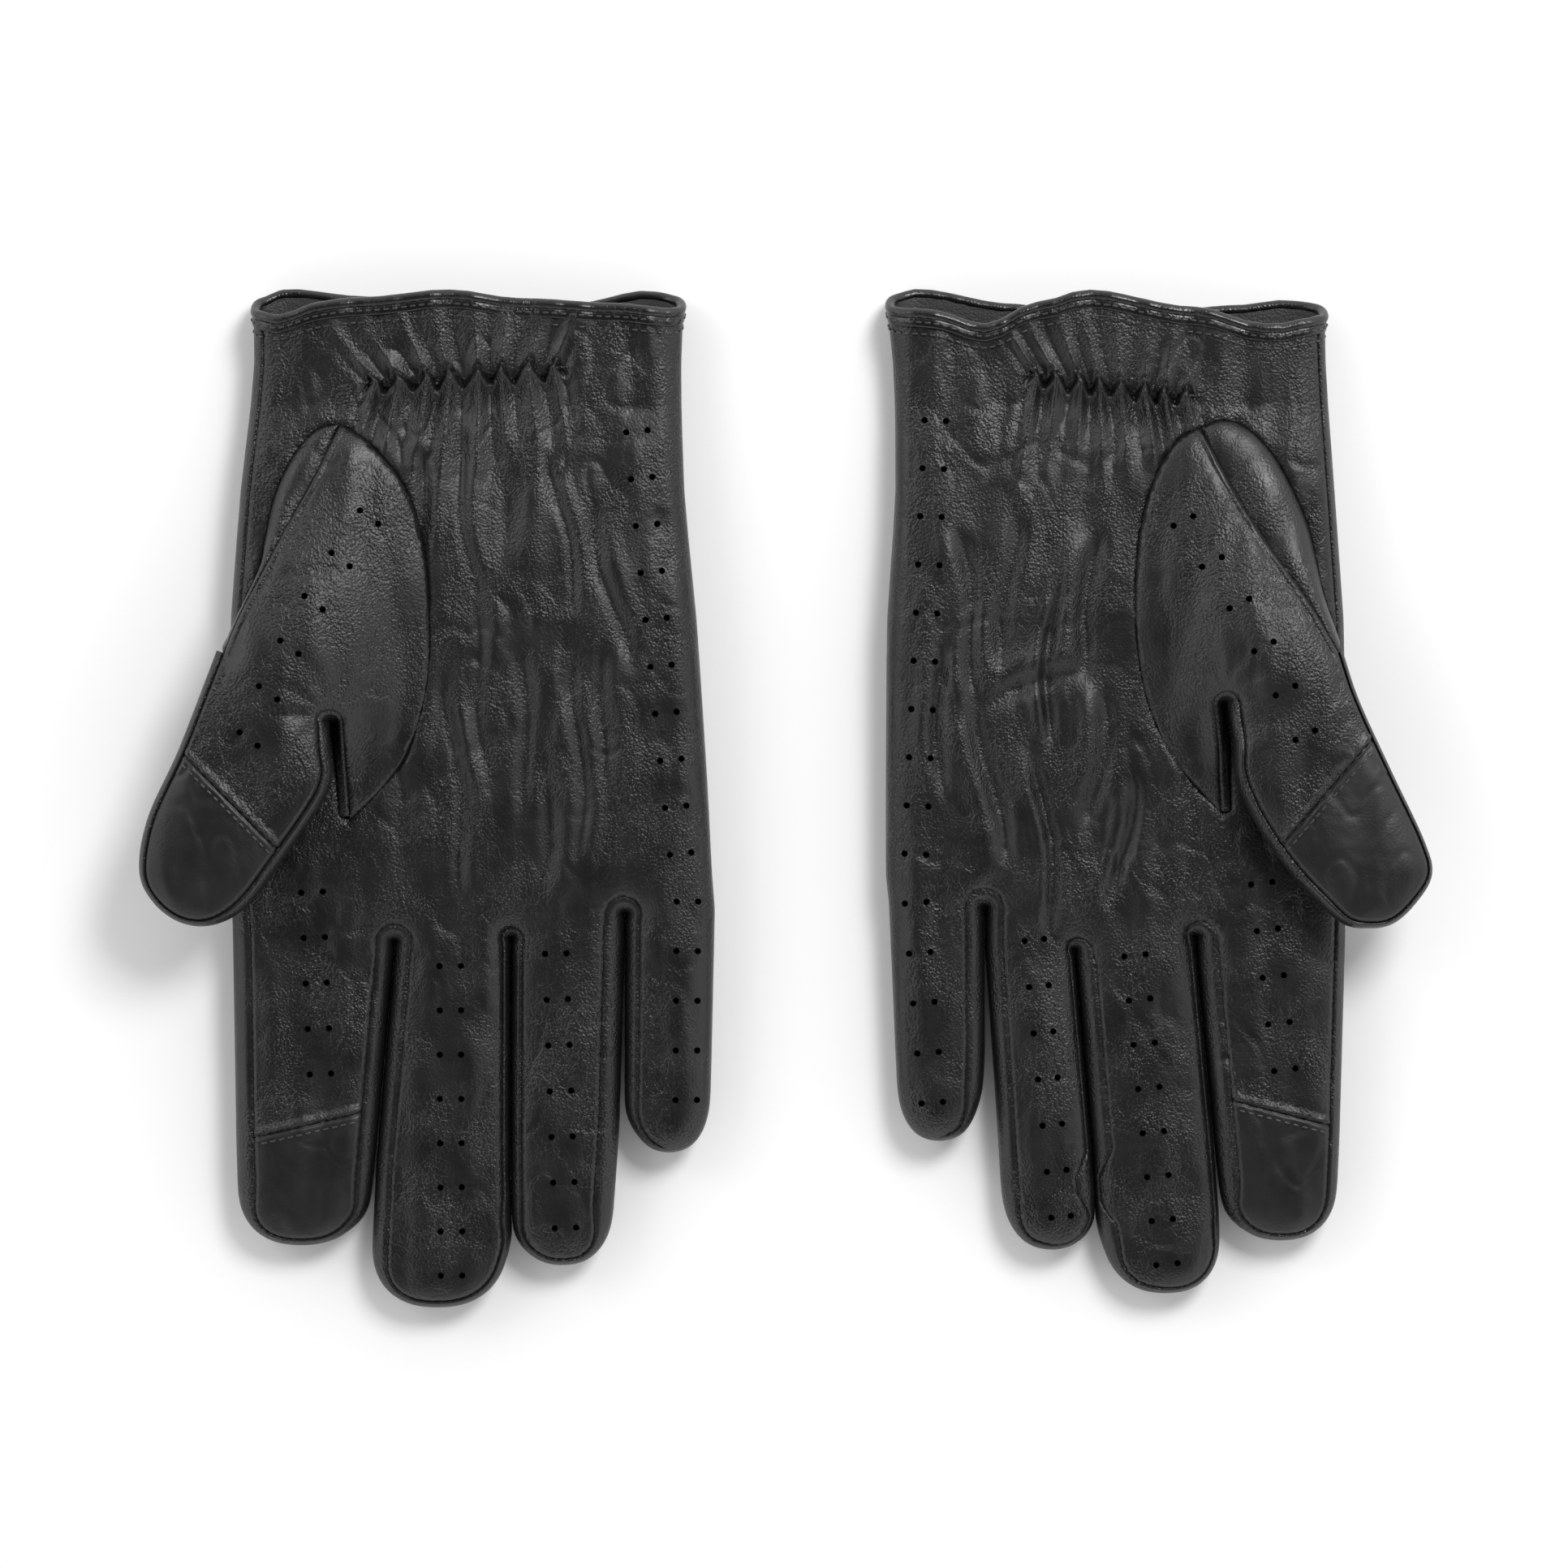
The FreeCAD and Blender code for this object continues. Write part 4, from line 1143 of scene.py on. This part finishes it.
def thumb_underside(glove, thumb):
    """The back of the thumb, turned to the floor."""
    seam = (thumb.edge + thumb.inward * THUMB_UNDER_SEAM)[:thumb.side_count]
    seam = seam[glove.thumb_place(seam)[0] > 0.0]
    cuts = [glove.thumb_xy([(thumb.tip_start, -30.0), (thumb.tip_start, 30.0)])]
    plan, faces = plate(seam, (), (), cuts)
    distance = Line(thumb.edge[:thumb.side_count]).distance(plan)
    z = thumb.middle - thumb.half * edge_shape(distance)
    points = np.column_stack([plan, z])
    faces = faces[:, ::-1]
    s = glove.thumb_place(points[faces].mean(1)[:, :2])[0]
    for number, node in ((1, "thumb_back"), (2, "thumb_tip_back")):
        chosen = (s > thumb.tip_start) == (number == 2)
        make_piece(glove, node + "_leather", points, faces[chosen], "leather",
                   thumb_bodies(glove, thumb, number), (node,), point_normals(points, faces))


def thumb_crescent(glove, thumb):
    """The part of the thumb's back leather that shows between the outer seam and the palm."""
    count = 70
    outer, rim = [resample(line, np.linalg.norm(np.diff(line, axis=0), axis=1).sum() / (count - 1))
                  for line in (thumb.outer, glove.crescent[::-1])]
    top = thumb.height(outer) + thumb.relief(outer) + thumb.seam_line_relief(outer) - GROOVE_DEPTH
    low = glove.palm_surface(rim) - 0.4
    rows = []
    for turn in np.linspace(0, math.pi / 2, 12):
        plan = outer + (rim - outer) * math.sin(turn) ** 1.2
        z = low + (top - low) * math.cos(turn) + 0.7 * math.sin(2 * turn)
        rows.append(np.column_stack([plan, z]))
    make_piece(glove, "thumb_crescent", np.vstack(rows), grid_faces(len(rows), count), "leather")


def build_thumb(glove):
    thumb = Thumb(glove)
    keystone_sheet(glove, thumb)
    thumb_walls(glove, thumb)
    thumb_underside(glove, thumb)
    thumb_crescent(glove, thumb)
    return thumb


# Cuff ------------------------------------------------------------------------------------------

FACING_DEPTH = 12.0       # how far the facing reaches into the cuff
ELASTIC_WIDTH = 6.0
ELASTIC_DEPTH = 3.2       # of the elastic strip below the height of the palm
# Profiles as (along y from the cuff edge, outward from the leather).
PIPING = [(PIPING_RADIUS * (math.sin(t) - 1), PIPING_RADIUS * math.cos(t) - 0.45)
          for t in np.linspace(0, 2 * math.pi, 17)[:-1]]
BAND = [(-2.0, -0.4), (-2.2, 0.3), (-2.6, 0.42), (-3.3, 0.46), (-4.0, 0.42), (-4.4, 0.28), (-4.55, -0.3)]
FACING = [(-0.6, -1.2), (-1.2, -1.45), (-4.0, -1.5), (-8.0, -1.5),
          (-FACING_DEPTH, -1.6), (-FACING_DEPTH, -0.9)]


def cuff_ring(glove):
    """The line round the mouth of the glove along the cuff edge, with its outward normals."""
    low, high = glove.low_x[-1], glove.high_x[-1]
    half = glove.height_z[-1] / 2
    turn = np.linspace(0, math.pi / 2, 30)
    reach = EDGE_ROUND * (1 - np.cos(turn) ** (2 / EDGE_POWER))
    rise = np.sin(turn) ** (2 / EDGE_POWER)
    flat = np.linspace(low + EDGE_ROUND, high - EDGE_ROUND, 60)[1:-1]
    x = np.concatenate([low + reach, flat, (high - reach)[::-1]])
    up = np.concatenate([rise, np.ones(len(flat)), rise[::-1]])
    ring = np.vstack([np.column_stack([x, up]), np.column_stack([x, -up])[::-1][1:-1]])
    ring = resample(np.vstack([ring, ring[:1]]) * [1, half], 1.0)[:-1]
    share = smooth(ring[:, 1] / half / 2 + 0.5)
    x = ring[:, 0]
    y = glove.back_cuff(x) + (glove.palm_cuff(x) - glove.back_cuff(x)) * share
    plan = np.column_stack([x, y])
    distance = np.minimum(x - low, high - x)
    relief = np.where(ring[:, 1] > 0, palm_relief(glove, plan, distance), 0)
    above = ring[:, 1] / half
    z = half + np.where(above > 0, half, half - 0.5) * above + relief * smooth(above)
    points = np.column_stack([x, y, z])
    step = np.roll(points, -1, 0) - np.roll(points, 1, 0)
    normal = np.column_stack([-step[:, 2], np.zeros(len(step)), step[:, 0]])
    return points, normal / np.linalg.norm(normal, axis=1)[:, None]


def sweep(ring, normal, profile, closed):
    """Carries a profile of (along y, outward) offsets round the cuff."""
    rows = []
    for down, out in profile + (profile[:1] if closed else []):
        rows.append(ring + np.array([0, down, 0]) + normal * out)
    return np.vstack(rows), grid_faces(len(rows), len(ring), closed=True)


def build_cuff(glove):
    """Piping, flat band, facing and stitches of the cuff, and the elastic with its end tacks."""
    ring, normal = cuff_ring(glove)
    puff = 0.16 * value_noise(ring[:, :2], 3.0, 3.0, glove.looks["seed"] + 60)
    puffed = ring + normal * puff[:, None]
    for name, profile, closed, finish, replaced in (
            ("cuff_piping", PIPING, True, "binding", ("cuff_binding",)),
            ("cuff_flat_band", BAND, False, "binding", ()),
            ("cuff_facing_leather", FACING, False, "facing", ("cuff_facing",))):
        points, faces = sweep(puffed if name == "cuff_piping" else ring, normal, profile, closed)
        if name != "cuff_facing_leather":
            faces = faces[:, ::-1]
        make_piece(glove, name, points, faces, finish, ("hand",), replaced)
    for name, down, out in (("cuff_stitches", -3.3, 0.55), ("cuff_lower_stitches", -6.0, 0.06)):
        line = ring + np.array([0, down, 0]) + normal * out
        sew(glove, name, line[ring[:, 2] > 1.0] if name == "cuff_lower_stitches" else line)
    (x0, y0), (x1, y1) = glove.looks["gather"]
    x = np.linspace(x0, x1, 60)
    rows = []
    for offset in (-ELASTIC_WIDTH / 2, ELASTIC_WIDTH / 2):
        y = y_on(glove.looks["gather"], x) + offset
        rows.append(np.column_stack([x, y, glove.height(y) - ELASTIC_DEPTH]))
    make_piece(glove, "wrist_elastic_ribbon", np.vstack(rows), grid_faces(2, len(x)), "elastic",
               ("hand",), ("wrist_elastic",))
    share = np.linspace(-0.2, 1, 8)
    for end, side, (x, y) in (("a", -1, (x0, y0)), ("b", 1, (x1, y1))):
        tack = np.column_stack([x + side * share * 3.0, y + 0.4 * np.sin(share * 14)])
        tack = np.column_stack([tack, glove.palm_surface(tack) + 0.1])
        sew(glove, "gather_tack_" + end, tack, pitch=TACK_PITCH)


# Stitches --------------------------------------------------------------------------------------

def sew(glove, name, line, bodies=("hand",), pitch=STITCH_PITCH):
    """A row of short raised stitches along a line in space."""
    spots = resample(line, pitch)
    parts = []
    turn = np.linspace(0, 2 * math.pi, 7)[:-1]
    for a, b in zip(spots, spots[1:]):
        run = (b - a) / max(np.linalg.norm(b - a), 1e-6)
        side = np.cross(run, [0, 0, 1])
        side /= max(np.linalg.norm(side), 1e-6)
        up = np.cross(side, run)
        middle = (a + b) / 2
        reach = STITCH_LENGTH / STITCH_PITCH * pitch / 2
        rows = []
        around = np.outer(np.cos(turn), side) + np.outer(np.sin(turn), up)
        for place, width in ((-1, 0.35), (-0.7, 1), (0.7, 1), (1, 0.35)):
            rows.append(middle + run * place * reach + around * STITCH_RADIUS * width)
        parts.append((np.vstack(rows), grid_faces(4, len(turn), closed=True)[:, ::-1]))
    make_piece(glove, name, *merged(parts), "thread", bodies)


def sew_patches(glove, thumb):
    """Topstitching on the touch patches, just beyond their turned seams."""
    patch = resample(glove.index_patch, SPACING)
    low, high = glove.sides("index", patch[:, 1])
    near, far = glove.looks["strips"]["index"]
    patch = patch[(patch[:, 0] > low + near + 0.8) & (patch[:, 0] < high - far - 0.8)]
    patch = patch - np.array([0, PATCH_STITCHES])
    z = glove.palm_surface(patch) + STITCH_LIFT
    sew(glove, "index_patch_stitches", np.column_stack([patch, z]), finger_bodies(glove, 0, "tip"))
    seam = glove.thumb_xy(resample(thumb.patch + np.array([PATCH_STITCHES, 0]), SPACING))
    seam = seam[Line(thumb.edge).distance(seam) > 2.2]
    seam = seam[inside(seam, thumb.edge[:thumb.side_count])]
    z = thumb.height(seam) + thumb.relief(seam) + STITCH_LIFT
    sew(glove, "thumb_patch_stitches", np.column_stack([seam, z]), thumb_bodies(glove, thumb, 2))


# Finishes --------------------------------------------------------------------------------------

PEBBLES_PER_MM = 1.9      # of the leather's grain


def leather(name, slot, tone, rough, grain, creases):
    """Dyed leather: pebble grain that comes and goes, fine creases, uneven gloss."""
    made = bpy.data.materials.new(name)
    made.use_nodes = True
    nodes, links = made.node_tree.nodes, made.node_tree.links
    surface = nodes["Principled BSDF"]
    place = nodes.new("ShaderNodeTexCoord").outputs["Object"]

    def texture_at(kind, scale, stretch=(1, 1, 1)):
        mapping = nodes.new("ShaderNodeMapping")
        mapping.inputs["Scale"].default_value = [s * scale / MM for s in stretch]
        links.new(place, mapping.inputs["Vector"])
        texture = nodes.new(kind)
        texture.inputs["Scale"].default_value = 1.0
        links.new(mapping.outputs["Vector"], texture.inputs["Vector"])
        return texture

    def noise_at(scale, detail=2.0, stretch=(1, 1, 1)):
        texture = texture_at("ShaderNodeTexNoise", scale, stretch)
        texture.inputs["Detail"].default_value = detail
        return texture.outputs["Fac"]

    def remap(value, from_low, from_high, to_low, to_high):
        node = nodes.new("ShaderNodeMapRange")
        node.inputs["From Min"].default_value = from_low
        node.inputs["From Max"].default_value = from_high
        node.inputs["To Min"].default_value = to_low
        node.inputs["To Max"].default_value = to_high
        links.new(value, node.inputs["Value"])
        return node.outputs["Result"]

    def combine(operation, a, b):
        node = nodes.new("ShaderNodeMath")
        node.operation = operation
        links.new(a, node.inputs[0])
        if isinstance(b, float):
            node.inputs[1].default_value = b
        else:
            links.new(b, node.inputs[1])
        return node.outputs[0]

    pebble = texture_at("ShaderNodeTexVoronoi", PEBBLES_PER_MM)
    pebble.feature = "SMOOTH_F1"
    patchy = remap(noise_at(0.07), 0.38, 0.62, 0.25, 1.0)
    grains = combine("MULTIPLY", combine("MULTIPLY", pebble.outputs["Distance"], patchy), -grain)
    ridged = combine("ABSOLUTE", combine("SUBTRACT", noise_at(0.3, 1.0, (1.5, 0.7, 1.0)), 0.5), 0.0)
    lines = combine("MULTIPLY", remap(ridged, 0.0, 0.03, -creases, 0.0), patchy)
    speckle = combine("MULTIPLY", noise_at(0.9, 2.0), 0.12 * grain)
    total = combine("ADD", combine("ADD", grains, lines), speckle)
    bump = nodes.new("ShaderNodeBump")
    bump.inputs["Strength"].default_value = 1.0
    bump.inputs["Distance"].default_value = MM
    links.new(total, bump.inputs["Height"])
    links.new(bump.outputs["Normal"], surface.inputs["Normal"])
    links.new(remap(noise_at(0.12, 4.0), 0.3, 0.7, rough - 0.05, rough + 0.06), surface.inputs["Roughness"])
    surface.inputs["Base Color"].default_value = (*tone, 1.0)
    surface.inputs["Specular IOR Level"].default_value = 0.5
    return {"material": made, "slot": slot}


FINISH = {
    "leather": leather("black_leather", "leather", (0.004, 0.004, 0.0044), 0.4, 0.25, 0.05),
    "touch_patch": leather("smooth_black_leather", "touch_patch", (0.0035, 0.0035, 0.0039), 0.46, 0.05, 0.01),
    "binding": leather("piping_leather", "binding", (0.006, 0.006, 0.0065), 0.28, 0.1, 0.03),
    "facing": leather("facing_leather", "facing", (0.014, 0.014, 0.015), 0.6, 0.18, 0.04),
    "elastic": leather("black_elastic", "elastic", (0.01, 0.01, 0.01), 0.8, 0.02, 0.0),
    # The thread's colour is set well above the leather's black: a painted highlight for the glints on the
    # stitches.
    "thread": leather("black_thread", "binding", (0.03, 0.03, 0.032), 0.35, 0.0, 0.0),
}


# Floor, light and camera -----------------------------------------------------------------------

def build_studio():
    """White paper floor, an even white sky, two soft lamps and a camera that looks straight down."""
    floor_mesh = bpy.data.meshes.new("floor")
    floor_mesh.from_pydata([(-2, -2, 0), (2, -2, 0), (2, 2, 0), (-2, 2, 0)], [], [(0, 1, 2, 3)])
    floor = bpy.data.objects.new("floor", floor_mesh)
    bpy.context.scene.collection.objects.link(floor)
    white = bpy.data.materials.new("white_paper")
    white.use_nodes = True
    surface = white.node_tree.nodes["Principled BSDF"]
    surface.inputs["Base Color"].default_value = (0.92, 0.92, 0.92, 1)
    surface.inputs["Roughness"].default_value = 0.9
    floor_mesh.materials.append(white)
    world = bpy.data.worlds.new("studio")
    world.use_nodes = True
    nodes, links = world.node_tree.nodes, world.node_tree.links
    nodes["Background"].inputs["Color"].default_value = (1, 1, 1, 1)
    split = nodes.new("ShaderNodeSeparateXYZ")
    links.new(nodes.new("ShaderNodeTexCoord").outputs["Generated"], split.inputs["Vector"])
    fall = nodes.new("ShaderNodeMapRange")
    for key, value in (("From Min", 0.4), ("From Max", 0.9), ("To Min", 1.5), ("To Max", 0.04)):
        fall.inputs[key].default_value = value
    links.new(split.outputs["Z"], fall.inputs["Value"])
    links.new(fall.outputs["Result"], nodes["Background"].inputs["Strength"])
    bpy.context.scene.world = world
    bpy.context.scene.view_settings.view_transform = "Standard"
    for name, place, power in (("key", (0.55, 0.75, 1.1), 13.0), ("rim", (-0.9, 0.5, 0.7), 2.0)):
        light = bpy.data.lights.new(name, "AREA")
        light.size = LIGHT_SIZE
        light.energy = power
        lamp = bpy.data.objects.new(name, light)
        lamp.location = place
        lamp.rotation_euler = (-Vector(place)).to_track_quat("-Z", "Y").to_euler()
        bpy.context.scene.collection.objects.link(lamp)
    lens = bpy.data.cameras.new("camera")
    lens.lens = 150
    camera = bpy.data.objects.new("camera", lens)
    camera.location = (-0.5 * MM, 3.2 * MM, CAMERA_HEIGHT)
    bpy.context.scene.collection.objects.link(camera)
    bpy.context.scene.camera = camera


for name in LOOKS:
    glove = Glove(name)
    build_hand(glove)
    thumb = build_thumb(glove)
    build_cuff(glove)
    sew_patches(glove, thumb)
build_studio()
